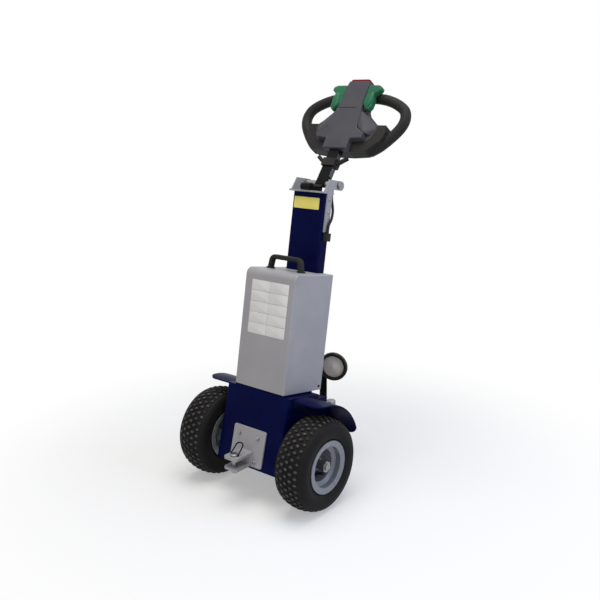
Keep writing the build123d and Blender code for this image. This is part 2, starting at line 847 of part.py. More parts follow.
# Castor arm bolted to the chassis back
lean = radians(lean_angle)
arm_root_y = chassis_rear * cos(lean) + chassis_ledge * sin(lean)
arm_root_z = axle_height - chassis_rear * sin(lean) + chassis_ledge * cos(lean)
root_top = (arm_root_y - sin(lean) * castor_arm_root_drop, arm_root_z - cos(lean) * castor_arm_root_drop)
arm_low = castor_arm_top - castor_arm_flange
root_low = (root_top[0] - tan(lean) * (root_top[1] - arm_low), arm_low)
with BuildPart() as castor_arm:
    with BuildSketch(floor_side_plane(0)):
        with BuildLine():
            Polyline(
                root_top,
                (castor_arm_knee, castor_arm_top),
                (castor_arm_end, castor_arm_top),
                (castor_arm_end, arm_low),
                root_low,
                close=True,
            )
        make_face()
    extrude(amount=castor_arm_half_width, both=True)
    low_face = castor_arm.faces().sort_by(Axis.Z)[0]
    offset(amount=-castor_arm_sheet, openings=low_face)
    with BuildSketch(floor_plane(castor_swivel_y, castor_arm_top)):
        Circle(castor_axle_diameter / 2 + running_clearance)
    extrude(amount=castor_arm_sheet * 2, both=True, mode=Mode.SUBTRACT)
castor_arm.part.label = "castor_arm"
export_step(castor_arm.part, "parts/castor_arm.step")

plate_top = castor_arm_top - castor_arm_sheet
race_bottom = plate_top - castor_plate_thickness - castor_race_height
with BuildPart() as castor_plate:
    with BuildSketch(floor_plane(castor_swivel_y, plate_top)):
        RectangleRounded(castor_plate_size, castor_plate_size, castor_plate_corner)
    extrude(amount=-castor_plate_thickness)
    with BuildSketch(floor_plane(castor_swivel_y, plate_top)):
        Circle(castor_race_diameter / 2)
    extrude(amount=race_bottom - plate_top)
    with BuildSketch(floor_plane(castor_swivel_y, plate_top)):
        Circle(castor_axle_diameter / 2)
    extrude(amount=castor_arm_sheet)
    with BuildSketch(floor_plane(castor_swivel_y, castor_arm_top)):
        Circle(kingpin_diameter / 2)
    extrude(amount=kingpin_height)
    chamfer(castor_plate.edges().sort_by(Axis.Z)[-1], kingpin_chamfer)
castor_plate.part.label = "castor_plate"
export_step(castor_plate.part, "parts/castor_plate.step")

# Castor fork with its wheel
castor_axle_y = castor_swivel_y + castor_trail
castor_radius = castor_wheel_diameter / 2
crown_top = race_bottom - running_clearance
leg_inner_x = castor_wheel_width / 2 + castor_fork_gap
leg_outer_x = leg_inner_x + castor_fork_wall
leg_half = castor_fork_leg_width / 2
with BuildPart() as castor_fork:
    with BuildSketch(floor_plane(castor_swivel_y, crown_top)):
        Circle(castor_crown_diameter / 2)
    extrude(amount=-castor_crown_height)
    for side in (-1, 1):
        with BuildSketch(floor_side_plane(side * leg_inner_x)):
            with BuildLine():
                Polyline(
                    (castor_axle_y - leg_half, castor_radius),
                    (castor_swivel_y - castor_fork_front, crown_top),
                    (castor_swivel_y + castor_fork_back, crown_top),
                    (castor_axle_y + leg_half, castor_radius),
                )
                ThreePointArc(
                    (castor_axle_y + leg_half, castor_radius),
                    (castor_axle_y, castor_radius - leg_half),
                    (castor_axle_y - leg_half, castor_radius),
                )
            make_face()
        extrude(amount=side * castor_fork_wall)
    with BuildSketch(floor_side_plane(0)):
        with Locations((castor_axle_y, castor_radius)):
            Circle(castor_axle_diameter / 2)
    extrude(amount=leg_outer_x + castor_axle_end, both=True)
    for side in (-1, 1):
        with BuildSketch(floor_side_plane(side * leg_outer_x)):
            with Locations((castor_axle_y, castor_radius)):
                RegularPolygon(castor_nut_flats / 2, 6, major_radius=False)
        extrude(amount=side * castor_nut_height)
castor_fork.part.label = "castor_fork"
export_step(castor_fork.part, "parts/castor_fork.step")

castor_centre = (0, axle_y + castor_axle_y, castor_radius)
castor_axis = Axis(castor_centre, (1, 0, 0))
castor_section = Plane(origin=castor_centre, x_dir=(1, 0, 0), z_dir=(0, -1, 0))
castor_half = castor_wheel_width / 2
castor_hub_radius = castor_hub_diameter / 2
castor_edge_radius = castor_radius - castor_tread_crown
with BuildPart() as castor_tyre:
    with BuildSketch(castor_section):
        with BuildLine():
            Polyline(
                (castor_half, castor_edge_radius),
                (castor_half, castor_hub_radius + seat_clearance),
                (-castor_half, castor_hub_radius + seat_clearance),
                (-castor_half, castor_edge_radius),
            )
            ThreePointArc(
                (-castor_half, castor_edge_radius),
                (0, castor_radius),
                (castor_half, castor_edge_radius),
            )
        make_face()
    revolve(axis=castor_axis)
castor_tyre.part.label = "castor_tyre"
export_step(castor_tyre.part, "parts/castor_tyre.step")

castor_bore = castor_axle_diameter / 2 + running_clearance
hub_rim_x = castor_half - castor_hub_inset
hub_rim_inner = castor_hub_radius - castor_hub_wall
hub_boss = castor_bore + castor_boss_wall
with BuildPart() as castor_hub:
    with BuildSketch(castor_section):
        with BuildLine():
            Polyline(
                (castor_half, castor_bore),
                (castor_half, hub_boss),
                (castor_web_half, hub_boss + castor_boss_slope),
                (castor_web_half, hub_rim_inner - castor_hub_slope),
                (hub_rim_x, hub_rim_inner),
                (hub_rim_x, castor_hub_radius),
                (-hub_rim_x, castor_hub_radius),
                (-hub_rim_x, hub_rim_inner),
                (-castor_web_half, hub_rim_inner - castor_hub_slope),
                (-castor_web_half, hub_boss + castor_boss_slope),
                (-castor_half, hub_boss),
                (-castor_half, castor_bore),
                close=True,
            )
        make_face()
    revolve(axis=castor_axis)
castor_hub.part.label = "castor_hub"
export_step(castor_hub.part, "parts/castor_hub.step")

# Horn, turned a little to the right, on a post that stands on the castor arm
horn_angle = radians(horn_turn)
horn_centre = Vector(0, axle_y + horn_y, horn_z)
horn_back_way = Vector(-sin(horn_angle), cos(horn_angle), 0)
horn_side_way = Vector(cos(horn_angle), sin(horn_angle), 0)
horn_radius = horn_diameter / 2
face_radius = horn_radius - horn_rim
with BuildPart() as horn:
    with BuildSketch(Plane(origin=horn_centre, x_dir=horn_back_way, z_dir=horn_side_way)):
        with BuildLine():
            Polyline(
                (-horn_dome, 0),
                (horn_bowl_depth, face_radius * horn_bowl_ratio),
                (horn_groove_depth, face_radius),
                (0, face_radius),
                (0, horn_radius),
                (horn_rim_depth, horn_radius),
                (horn_depth - horn_back_step, face_radius),
                (horn_depth, face_radius * horn_back_ratio),
                (horn_depth, 0),
                close=True,
            )
        make_face()
    revolve(axis=Axis(horn_centre, horn_back_way))
horn.part.label = "horn"
export_step(horn.part, "parts/horn.step")

post_origin = horn_centre + horn_back_way * horn_depth
post_half = horn_post_width / 2
post_foot_level = castor_arm_top - horn_z
with BuildPart() as horn_post:
    with BuildSketch(Plane(origin=post_origin, x_dir=horn_side_way, z_dir=-horn_back_way)):
        with BuildLine():
            Polyline(
                (horn_post_shift - post_half, post_foot_level),
                (horn_post_shift + horn_post_foot, post_foot_level),
                (horn_post_shift + horn_post_foot, post_foot_level + horn_post_foot_height),
                (horn_post_shift + post_half, post_foot_level + 2 * horn_post_foot_height),
                (horn_post_shift + post_half, -horn_post_width),
                (post_half, -post_half),
                (post_half, post_half),
                (horn_post_shift - post_half, post_half),
                close=True,
            )
        make_face()
    extrude(amount=-horn_post_sheet)
horn_post.part.label = "horn_post"
export_step(horn_post.part, "parts/horn_post.step")

# Tiller arm and its clamp
arm_half = arm_depth / 2
with BuildPart() as tiller_arm:
    with BuildSketch(arm_plane(0)):
        with Locations((head_length / 2, 0)):
            Rectangle(head_length, arm_depth)
        Circle(arm_half)
    extrude(amount=arm_width / 2, both=True)
    with BuildSketch(arm_plane(0)):
        Circle(pivot_bolt_diameter / 2 + running_clearance)
    extrude(amount=arm_width, both=True, mode=Mode.SUBTRACT)
    neck_face = head_plane(0)
    neck_cut = Plane(origin=neck_face.origin, x_dir=(1, 0, 0), z_dir=neck_face.y_dir)
    split(bisect_by=neck_cut, keep=Keep.BOTTOM)
    groove_length = arm_groove_end - arm_groove_start
    for side in (-1, 1):
        with BuildSketch(arm_plane(side * arm_width / 2)):
            for row in (-1, 0, 1):
                with Locations(((arm_groove_start + arm_groove_end) / 2, row * arm_groove_spacing)):
                    Rectangle(groove_length, arm_groove_width)
        extrude(amount=-side * arm_groove_depth, mode=Mode.SUBTRACT)
tiller_arm.part.label = "tiller_arm"
export_step(tiller_arm.part, "parts/tiller_arm.step")

clamp_half_width = arm_width / 2 + clamp_wall
clamp_half_depth = arm_half + clamp_wall
with BuildPart() as arm_clamp:
    with BuildSketch(arm_plane(0)):
        with Locations((clamp_along, 0)):
            Rectangle(clamp_length, 2 * clamp_half_depth)
    extrude(amount=clamp_half_width, both=True)
    rise = radians(clamp_ear_rise)
    clamp_base = arm_plane(0)
    clamp_centre = clamp_base.origin + clamp_base.x_dir * clamp_along
    for side in (-1, 1):
        ear_way = Vector(side * cos(rise), 0, 0) + clamp_base.x_dir * sin(rise)
        ear_root = clamp_centre + Vector(side * clamp_half_width, 0, 0) - ear_way * clamp_wall / 2
        with BuildSketch(Plane(origin=ear_root, x_dir=clamp_base.y_dir, z_dir=ear_way)):
            RectangleRounded(clamp_ear_width, clamp_ear_thickness, clamp_ear_corner)
        extrude(amount=clamp_ear_length)
    with BuildSketch(arm_plane(0)):
        with Locations((clamp_along, 0)):
            Rectangle(clamp_length * 3, arm_depth + 2 * seat_clearance)
    extrude(amount=arm_width / 2 + seat_clearance, both=True, mode=Mode.SUBTRACT)
arm_clamp.part.label = "arm_clamp"
export_step(arm_clamp.part, "parts/arm_clamp.step")


def head_corner(vertex):
    """Whether a corner of a head outline is one to round, away from its two ends."""
    return neck_length / 2 < vertex.Y < head_length - head_edge_radius and abs(vertex.X) > head_edge_radius


# Tiller head: underside cover with its seam groove
head_out = Axis((0, 0, 0), head_plane(0).z_dir)
with BuildPart() as head_lower:
    with BuildSketch(head_plane(0)) as lower_outline:
        with BuildLine():
            Polyline(
                (0, 0),
                (neck_half_width, 0),
                (neck_half_width, neck_length),
                (shoulder_half_width - shoulder_rake, neck_length + shoulder_rake),
                (shoulder_half_width, shoulder_top),
                (body_half_width, body_along),
                (waist_half_width, waist_along),
                (crown_half_width, crown_along),
                (crown_half_width, crown_end),
                (crown_half_width - crown_taper, head_length),
                (0, head_length),
            )
            mirror(about=Plane.YZ)
        make_face()
        fillet(lower_outline.vertices().filter_by(head_corner), head_corner_radius)
    extrude(amount=-head_seam)
    fillet(head_lower.faces().sort_by(head_out)[-1].edges(), head_edge_radius / 2)
    with BuildSketch(head_plane(0)):
        with Locations(((seam_groove_left + seam_groove_right) / 2, seam_groove_along)):
            Rectangle(seam_groove_right - seam_groove_left, seam_groove_width)
    extrude(amount=-seam_groove_depth, mode=Mode.SUBTRACT)
head_lower.part.label = "head_lower"
export_step(head_lower.part, "parts/head_lower.step")

# Operator-side cover, thinner towards the top
with BuildPart() as head_upper:
    with BuildSketch(head_plane(head_seam)) as upper_outline:
        with BuildLine():
            Polyline(
                (0, upper_start),
                (upper_start_half_width, upper_start),
                (upper_shoulder_half_width - upper_low_step, upper_shoulder_low),
                (upper_shoulder_half_width, upper_shoulder_middle),
                (upper_shoulder_half_width - upper_high_step, upper_shoulder_high),
                (waist_half_width, upper_waist_along),
                (crown_half_width, crown_along),
                (crown_half_width, crown_end),
                (crown_half_width - crown_taper, head_length),
                (0, head_length),
            )
            mirror(about=Plane.YZ)
        make_face()
        fillet(upper_outline.vertices().filter_by(head_corner), head_corner_radius)
    extrude(amount=head_seam - head_thickness)
    fillet(head_upper.faces().sort_by(head_out)[0].edges(), head_edge_radius)
    with BuildSketch(head_side_plane(0)):
        with BuildLine():
            Polyline(
                (head_thickness, head_slope_start),
                (head_top_thickness, head_length),
                (head_thickness, head_length),
                close=True,
            )
        make_face()
    extrude(amount=upper_shoulder_half_width, both=True, mode=Mode.SUBTRACT)
head_upper.part.label = "head_upper"
export_step(head_upper.part, "parts/head_upper.step")

# Grip loop with the yoke and webs that carry it behind the head
grip_origin = head_side_plane(0).from_local_coords(Vector(grip_depth, grip_along, 0))
grip_normal = head_plane(0).z_dir.rotate(Axis.X, head_angle - grip_angle)
grip_plane = Plane(origin=grip_origin, x_dir=(1, 0, 0), z_dir=grip_normal)
grip_reach = grip_half_width - grip_diameter / 2
grip_start = (crown_half_width + seat_clearance, grip_rise)
grip_points = [grip_start]
grip_points += [(share * grip_reach, height * grip_rise) for share, height in grip_top_shape]
grip_points += [(share * grip_reach, -height * grip_drop) for share, height in grip_low_shape]
with BuildPart() as grip_loop:
    with BuildLine(grip_plane) as grip_path:
        FilletPolyline(*grip_points, radius=smooth_radii(grip_points))
    with BuildSketch(Plane(origin=grip_path.line @ 0, z_dir=grip_path.line % 0)):
        Circle(grip_diameter / 2)
    sweep()
    with BuildSketch(head_plane(head_seam + seat_clearance)):
        with BuildLine():
            Polyline(
                (0, seat_clearance),
                (neck_half_width, seat_clearance),
                (yoke_low_corner, yoke_low_rise),
                (yoke_half_width - yoke_wing_inset, yoke_wing_low),
                (yoke_half_width, yoke_wing_middle),
                (yoke_half_width - yoke_wing_inset / 2, yoke_web_top),
                (0, yoke_web_top),
                close=True,
            )
        make_face()
        offset(upper_outline.sketch_local, amount=seat_clearance, mode=Mode.SUBTRACT)
    extrude(amount=-yoke_depth)
    mirror(about=Plane.YZ)
grip_loop.part.label = "grip_loop"
export_step(grip_loop.part, "parts/grip_loop.step")

# Head controls: thumb throttles, belly button, stop button, charge gauge
throttle_inner = crown_half_width + seat_clearance
for side, name in ((-1, "left"), (1, "right")):
    with BuildPart() as throttle:
        with BuildSketch(head_plane(throttle_front)) as paddle:
            with BuildLine():
                Polyline(
                    (side * throttle_inner, crown_along),
                    (side * throttle_foot_x, throttle_low),
                    (side * throttle_waist_x, throttle_low),
                    (side * throttle_lobe_x, throttle_lobe_low),
                    (side * throttle_lobe_x, throttle_lobe_high),
                    (side * throttle_waist_x, throttle_waist_along),
                    (side * throttle_tip_x, throttle_tip_low),
                    (side * throttle_tip_x, throttle_tip_high),
                    (side * throttle_lobe_x, throttle_high),
                    (side * throttle_inner, throttle_high),
                    close=True,
                )
            make_face()
            outer_points = paddle.vertices().filter_by(lambda vertex: abs(vertex.X) > throttle_inner + seat_clearance)
            fillet(outer_points, throttle_corner_radius)
        extrude(amount=throttle_front - throttle_back)
        fillet(throttle.faces().sort_by(head_out)[-1].edges(), throttle_edge_radius)
    throttle.part.label = f"throttle_{name}"
    export_step(throttle.part, f"parts/throttle_{name}.step")

belly_face = head_plane(0)
belly_origin = belly_face.origin + belly_face.y_dir * head_length
with BuildPart() as belly_button:
    with BuildSketch(Plane(origin=belly_origin, x_dir=(1, 0, 0), z_dir=belly_face.y_dir)):
        with Locations((0, head_top_thickness / 2)):
            RectangleRounded(2 * belly_half_width, head_top_thickness - 2 * belly_inset, belly_corner)
    extrude(amount=belly_height)
    fillet(belly_button.faces().sort_by(Axis((0, 0, 0), belly_face.y_dir))[-1].edges(), belly_edge_radius)
belly_button.part.label = "belly_button"
export_step(belly_button.part, "parts/belly_button.step")

# The stop button sits on the sloping left side of the operator's cover
side_low = Vector(-(upper_shoulder_half_width - upper_high_step), upper_shoulder_high, 0)
side_high = Vector(-waist_half_width, upper_waist_along, 0)
side_way = side_high - side_low
button_face = head_plane(stop_button_depth)
button_local = side_low + side_way * stop_button_share
button_out_local = Vector(-side_way.Y, side_way.X, 0)
button_centre = button_face.from_local_coords(button_local)
button_out = button_face.from_local_coords(button_local + button_out_local) - button_centre
with BuildPart() as stop_button:
    with BuildSketch(Plane(origin=button_centre, z_dir=button_out)):
        Circle(stop_button_diameter / 2)
    extrude(amount=stop_button_height)
stop_button.part.label = "stop_button"
export_step(stop_button.part, "parts/stop_button.step")

with BuildPart() as charge_gauge:
    with BuildSketch(head_plane(head_thickness)):
        with Locations((0, gauge_along)):
            RectangleRounded(gauge_width, gauge_length, gauge_corner)
    extrude(amount=-gauge_height)
charge_gauge.part.label = "charge_gauge"
export_step(charge_gauge.part, "parts/charge_gauge.step")
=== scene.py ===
"""Looks of a walk-behind electric tow tug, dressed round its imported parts, in metres."""

import json
import logging
import math
from dataclasses import dataclass
from enum import Enum
from typing import Iterable, Sequence

import bmesh
import bpy
from mathutils import Matrix, Vector


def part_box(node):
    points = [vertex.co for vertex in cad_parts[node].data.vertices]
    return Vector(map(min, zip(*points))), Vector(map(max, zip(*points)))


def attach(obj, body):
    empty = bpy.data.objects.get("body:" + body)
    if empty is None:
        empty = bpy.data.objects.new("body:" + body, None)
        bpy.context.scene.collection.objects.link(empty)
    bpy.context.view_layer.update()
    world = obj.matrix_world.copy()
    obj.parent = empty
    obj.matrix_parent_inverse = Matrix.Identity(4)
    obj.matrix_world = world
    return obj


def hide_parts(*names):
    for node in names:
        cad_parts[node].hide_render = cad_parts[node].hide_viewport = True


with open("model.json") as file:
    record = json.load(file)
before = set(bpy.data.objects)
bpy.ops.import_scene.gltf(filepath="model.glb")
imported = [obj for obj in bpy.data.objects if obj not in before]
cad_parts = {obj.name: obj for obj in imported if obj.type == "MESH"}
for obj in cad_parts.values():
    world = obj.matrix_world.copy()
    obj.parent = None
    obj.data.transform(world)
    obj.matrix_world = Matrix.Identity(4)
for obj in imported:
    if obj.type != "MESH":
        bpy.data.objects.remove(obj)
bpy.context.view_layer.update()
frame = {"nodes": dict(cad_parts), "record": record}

log = logging.getLogger("tow_tug")

MM = 0.001
FULL_TURN = 2.0 * math.pi

BMesh = bmesh.types.BMesh
Socket = bpy.types.NodeSocket
Colour = tuple[float, float, float]
Point = tuple[float, float, float]
Pair = tuple[float, float]

WHITE: Colour = (1.0, 1.0, 1.0)
ORIGIN: Point = (0.0, 0.0, 0.0)

# Angles are in radians. NEAR_TOP is a share of a shape's height.
SMOOTH_ANGLE = math.radians(35.0)
SHARP_ANGLE = 1.0
FLAT_ANGLE = math.radians(2.0)
MERGE_GAP = 0.001 * MM
NEAR_TOP = 0.9


class Body(Enum):
    """Bodies that the added pieces ride on."""

    CHASSIS = "chassis"
    WHEEL_LEFT = "wheel_left"
    WHEEL_RIGHT = "wheel_right"
    TILLER = "tiller"


class Side(Enum):
    """The two sides of the machine, as the sign of x."""

    LEFT = -1
    RIGHT = 1

    @property
    def word(self) -> str:
        """Name of the side in lower case."""
        return self.name.lower()


class Grain(Enum):
    """Kinds of fine surface relief."""

    ORANGE_PEEL = "sprayed paint"
    MOULDED = "moulded plastic"
    CAST = "sand cast"
    BRUSHED = "brushed metal"
    RUBBER = "vulcanised rubber"


class Signal:
    """A number that varies over a surface: a socket that Python's operators work on."""

    def __init__(self, graph: "Graph", socket: Socket) -> None:
        """Keep the graph and its socket."""
        self.graph = graph
        self.socket = socket

    def _math(self, operation: str, first: "Signal | float", second: "Signal | float") -> "Signal":
        """Add one Math node.

        Args:
            operation: Name of the Math node's operation.
            first: Value of its first socket.
            second: Value of its second socket.

        Returns:
            The node's result.
        """
        node = self.graph.node("ShaderNodeMath", {"operation": operation}, {0: first, 1: second})
        return Signal(self.graph, node.outputs[0])

    def __add__(self, other: "Signal | float") -> "Signal":
        """Sum."""
        return self._math("ADD", self, other)

    def __radd__(self, other: "Signal | float") -> "Signal":
        """Sum, with the number first."""
        return self._math("ADD", other, self)

    def __sub__(self, other: "Signal | float") -> "Signal":
        """Difference."""
        return self._math("SUBTRACT", self, other)

    def __rsub__(self, other: "Signal | float") -> "Signal":
        """Difference, with the number first."""
        return self._math("SUBTRACT", other, self)

    def __mul__(self, other: "Signal | float") -> "Signal":
        """Product."""
        return self._math("MULTIPLY", self, other)

    def __rmul__(self, other: "Signal | float") -> "Signal":
        """Product, with the number first."""
        return self._math("MULTIPLY", other, self)

    def __truediv__(self, other: "Signal | float") -> "Signal":
        """Quotient."""
        return self._math("DIVIDE", self, other)

    def __rtruediv__(self, other: "Signal | float") -> "Signal":
        """Quotient, with the number first."""
        return self._math("DIVIDE", other, self)

    def size(self) -> "Signal":
        """Value without its sign."""
        return self._math("ABSOLUTE", self, 0.0)

    def ramp(self, low: float, high: float) -> "Signal":
        """Smooth step.

        Args:
            low: Value that becomes 0.
            high: Value that becomes 1.

        Returns:
            The signal eased from 0 to 1 between the two values.
        """
        values = {"Value": self, "From Min": low, "From Max": high}
        node = self.graph.node("ShaderNodeMapRange", {"interpolation_type": "SMOOTHSTEP"}, values)
        return Signal(self.graph, node.outputs["Result"])


class Graph:
    """The node tree of a material or of the world."""

    def __init__(self, owner: bpy.types.Material | bpy.types.World) -> None:
        """Start with an empty tree.

        Args:
            owner: The material or world that the tree belongs to.
        """
        owner.use_nodes = True
        self.tree = owner.node_tree
        self.tree.nodes.clear()

    def seen_rays(self) -> Signal:
        """Tell the rays that show a surface from light that only bounces.

        Returns:
            1 for rays from the eye, a mirror or glass, and 0 for the others.
        """
        rays = self.node("ShaderNodeLightPath").outputs
        seen = [Signal(self, rays[f"Is {kind} Ray"]) for kind in ("Camera", "Glossy", "Transmission")]
        return (seen[0] + seen[1] + seen[2]).ramp(0.0, 1.0)

    def node(self, kind: str, settings: dict | None = None, values: dict | None = None) -> bpy.types.Node:
        """Add a node.

        Args:
            kind: Blender's name of the node type.
            settings: The node's own properties, set first.
            values: Values or links of its input sockets, by name or number.

        Returns:
            The new node.
        """
        made = self.tree.nodes.new(kind)
        for key, setting in (settings or {}).items():
            setattr(made, key, setting)
        for key, value in (values or {}).items():
            self.feed(made.inputs[key], value)
        return made

    def feed(self, socket: Socket, value: object) -> None:
        """Link an input socket, or set its value.

        Args:
            socket: The input socket.
            value: The signal or socket that feeds it, or its own value.
        """
        if isinstance(value, Signal):
            value = value.socket
        if isinstance(value, Socket):
            self.tree.links.new(value, socket)
        else:
            socket.default_value = value


class Surface(Graph):
    """One material's node tree, with its shader and its output."""

    def __init__(self, name: str) -> None:
        """Start a material with only its output and its shader.

        Args:
            name: Name of the material.
        """
        self.material = bpy.data.materials.new(name)
        super().__init__(self.material)
        self.shader = self.node("ShaderNodeBsdfPrincipled")
        self.output = self.node("ShaderNodeOutputMaterial", {}, {"Surface": self.shader.outputs[0]})
        self.place = self.node("ShaderNodeTexCoord").outputs["Object"]
        self.normal = self.node("ShaderNodeNewGeometry").outputs["Normal"]

    def shade(self, values: dict[str, object]) -> None:
        """Feed the shader's sockets, by name."""
        for socket, value in values.items():
            self.feed(self.shader.inputs[socket], value)

    def noise(self, size: float, detail: float, stretch: Point = (1.0, 1.0, 1.0)) -> Signal:
        """Soft noise on the piece's own coordinates.

        Args:
            size: Size of its patches in metres.
            detail: Octaves of finer noise in it.
            stretch: How far the patches are drawn out along each axis.

        Returns:
            The noise, about 0.3 to 0.7.
        """
        scale = [1.0 / way for way in stretch]
        moved = self.node("ShaderNodeMapping", {}, {"Vector": self.place, "Scale": scale})
        values = {"Vector": moved.outputs[0], "Scale": 1.0 / size, "Detail": detail}
        return Signal(self, self.node("ShaderNodeTexNoise", {}, values).outputs[0])

    def mix(self, factor: Signal, first: object, second: object) -> Socket:
        """Mix two colours.

        Args:
            factor: Share of the second colour.
            first: Colour or socket where the factor is 0.
            second: Colour or socket where the factor is 1.

        Returns:
            The mixed colour.
        """
        values = {"Factor": factor, 6: self._rgba(first), 7: self._rgba(second)}
        return self.node("ShaderNodeMix", {"data_type": "RGBA"}, values).outputs[2]

    @staticmethod
    def _rgba(colour: object) -> object:
        """A colour with its alpha, or the socket as it is."""
        return (*colour, 1.0) if isinstance(colour, tuple) else colour

    def along(self, axis: str, vector: Socket) -> Signal:
        """One component of a vector, by its axis letter."""
        return Signal(self, self.node("ShaderNodeSeparateXYZ", {}, {0: vector}).outputs[axis])

    def vector(self, operation: str, *values: object) -> bpy.types.Node:
        """Add one Vector Math node, its sockets fed in order."""
        return self.node("ShaderNodeVectorMath", {"operation": operation}, dict(enumerate(values)))

    def dot(self, first: object, second: object) -> Signal:
        """Dot product of two directions."""
        return Signal(self, self.vector("DOT_PRODUCT", first, second).outputs["Value"])

    def rounded(self, radius: float) -> Socket:
        """Normals that round off edges over that radius."""
        return self.node("ShaderNodeBevel", {"samples": 4}, {"Radius": radius}).outputs[0]

    def edges(self, radius: float) -> Signal:
        """Mask of the edges of a piece.

        Args:
            radius: How far from an edge the mask reaches.

        Returns:
            1 on the edges and 0 on the faces.
        """
        return (1.0 - self.dot(self.rounded(radius), self.normal)).ramp(*EDGE_BEND)

    def radius_about(self, centre: Point, axis: str) -> Signal:
        """Distance from a line through a point.

        Args:
            centre: A point on the line.
            axis: Letter of the axis that the line runs along.

        Returns:
            The distance in metres.
        """
        flat = [0.0 if letter == axis else 1.0 for letter in "XYZ"]
        moved = self.vector("SUBTRACT", self.place, centre).outputs[0]
        flattened = self.vector("MULTIPLY", moved, flat).outputs[0]
        return Signal(self, self.vector("LENGTH", flattened).outputs["Value"])


@dataclass(frozen=True)
class Patches:
    """Noise of one patch size in metres, and the two values between which it becomes a mask."""

    size: float
    detail: float
    low: float
    high: float
    stretch: Point = (1.0, 1.0, 1.0)

    def noise(self, graph: Surface) -> Signal:
        """The noise itself."""
        return graph.noise(self.size, self.detail, self.stretch)

    def mask(self, graph: Surface) -> Signal:
        """0 off the patches and 1 on them."""
        return self.noise(graph).ramp(self.low, self.high)


MOTTLING = Patches(0.11, 4.0, 0.35, 0.68)
WEAR = Patches(0.035, 5.0, 0.42, 0.66)
DUST = Patches(0.06, 5.0, 0.34, 0.72)
# Patches of the pale tyre block tops: rubbing wear, and painted highlight for the glints on the blocks.
SCUFF_AND_GLINT_PATCHES = Patches(0.009, 3.0, 0.30, 0.60)
RISING_SCRATCHES = Patches(0.004, 1.0, 0.70, 0.74, (1.0, 3.0, 24.0))
LEVEL_SCRATCHES = Patches(0.005, 1.0, 0.71, 0.75, (20.0, 6.0, 1.0))
SCRATCHED_AREAS = Patches(0.09, 2.0, 0.48, 0.62)

# How sharply an edge bends, and how far its wear reaches, as a multiple of its radius.
EDGE_BEND: Pair = (0.02, 0.22)
WEAR_REACH = 1.6

# How far a face looks up before dust lies on it, and the share that still clings to its sides.
DUST_SLOPE: Pair = (-0.1, 1.0)
DUST_ON_SIDES = 0.3

# The noise's middle value, and what wear, scratches and dust add to the roughness.
NOISE_MIDDLE = 0.5
WORN_ROUGHER = 0.2
SCRATCHED_ROUGHER = 0.15
DUSTY_ROUGHER = 0.35

# Octaves of each grain's noise, the draw of brushing, and the finer noise among moulded spots.
GRAIN_DETAIL = {
    Grain.ORANGE_PEEL: 1.0, Grain.MOULDED: 2.0, Grain.CAST: 6.0, Grain.BRUSHED: 2.0, Grain.RUBBER: 4.0,
}
BRUSH_STRETCH: Point = (1.0, 1.0, 30.0)
FINE_SIZE = 0.5
FINE_SHARE = 0.3


@dataclass(frozen=True)
class Finish:
    """One surface: its colours, gloss, fine relief and wear.

    Lengths are in metres. Wear, dust and scratches run from 0 for none to 1.
    """

    name: str
    colour: Colour
    mottle: Colour
    roughness: float
    grain: Grain
    grain_size: float
    grain_height: float
    roughness_spread: float = 0.12
    metallic: float = 0.0
    specular: float = 0.5
    edge_radius: float = 0.0012
    edge_wear: float = 0.0
    wear_colour: Colour = (0.35, 0.35, 0.36)
    dust: float = 0.15
    dust_colour: Colour = (0.26, 0.25, 0.24)
    scratches: float = 0.0

    def relief(self, graph: Surface) -> Signal:
        """Height of the fine relief.

        Args:
            graph: The material being made.

        Returns:
            The relief, about 0 to 1.
        """
        detail = GRAIN_DETAIL[self.grain]
        if self.grain is Grain.BRUSHED:
            return graph.noise(self.grain_size, detail, BRUSH_STRETCH)
        if self.grain is Grain.MOULDED:
            cells = {"Vector": graph.place, "Scale": 1.0 / self.grain_size}
            spots = Signal(graph, graph.node("ShaderNodeTexVoronoi", {"feature": "F1"}, cells).outputs[0])
            fine = graph.noise(self.grain_size * FINE_SIZE, detail)
            return spots * (1.0 - FINE_SHARE) + fine * FINE_SHARE
        return graph.noise(self.grain_size, detail)

    def scratch_mask(self, graph: Surface) -> Signal:
        """Thin marks at two slants.

        Args:
            graph: The material being made.

        Returns:
            1 on a mark and 0 elsewhere.
        """
        marks = RISING_SCRATCHES.mask(graph) + LEVEL_SCRATCHES.mask(graph)
        return marks * SCRATCHED_AREAS.mask(graph)

    def base(self, graph: Surface) -> Socket:
        """Colour before wear and dust."""
        return graph.mix(MOTTLING.mask(graph), self.colour, self.mottle)

    def material(self) -> bpy.types.Material:
        """Build the material.

        Returns:
            The finished material.
        """
        graph = Surface(self.name)
        relief = self.relief(graph)
        cloud = WEAR.noise(graph)
        colour = self.base(graph)
        roughness = self.roughness + (cloud - NOISE_MIDDLE) * self.roughness_spread
        if self.edge_wear:
            edges = graph.edges(self.edge_radius * WEAR_REACH)
            worn = edges * cloud.ramp(WEAR.low, WEAR.high) * self.edge_wear
            colour = graph.mix(worn, colour, self.wear_colour)
            roughness = roughness + worn * WORN_ROUGHER
        if self.scratches:
            marks = self.scratch_mask(graph) * self.scratches
            colour = graph.mix(marks, colour, self.wear_colour)
            roughness = roughness + marks * SCRATCHED_ROUGHER
        if self.dust:
            upward = graph.along("Z", graph.normal).ramp(*DUST_SLOPE)
            film = (upward * (1.0 - DUST_ON_SIDES) + DUST_ON_SIDES) * DUST.mask(graph) * self.dust
            colour = graph.mix(film, colour, self.dust_colour)
            roughness = roughness + film * DUSTY_ROUGHER
        bump = {"Strength": 1.0, "Distance": self.grain_height, "Height": relief}
        bump["Normal"] = graph.rounded(self.edge_radius)
        shader = {"Base Color": colour, "Roughness": roughness, "Metallic": self.metallic}
        shader["Specular IOR Level"] = self.specular
        shader["Normal"] = graph.node("ShaderNodeBump", {}, bump).outputs[0]
        graph.shade(shader)
        return graph.material


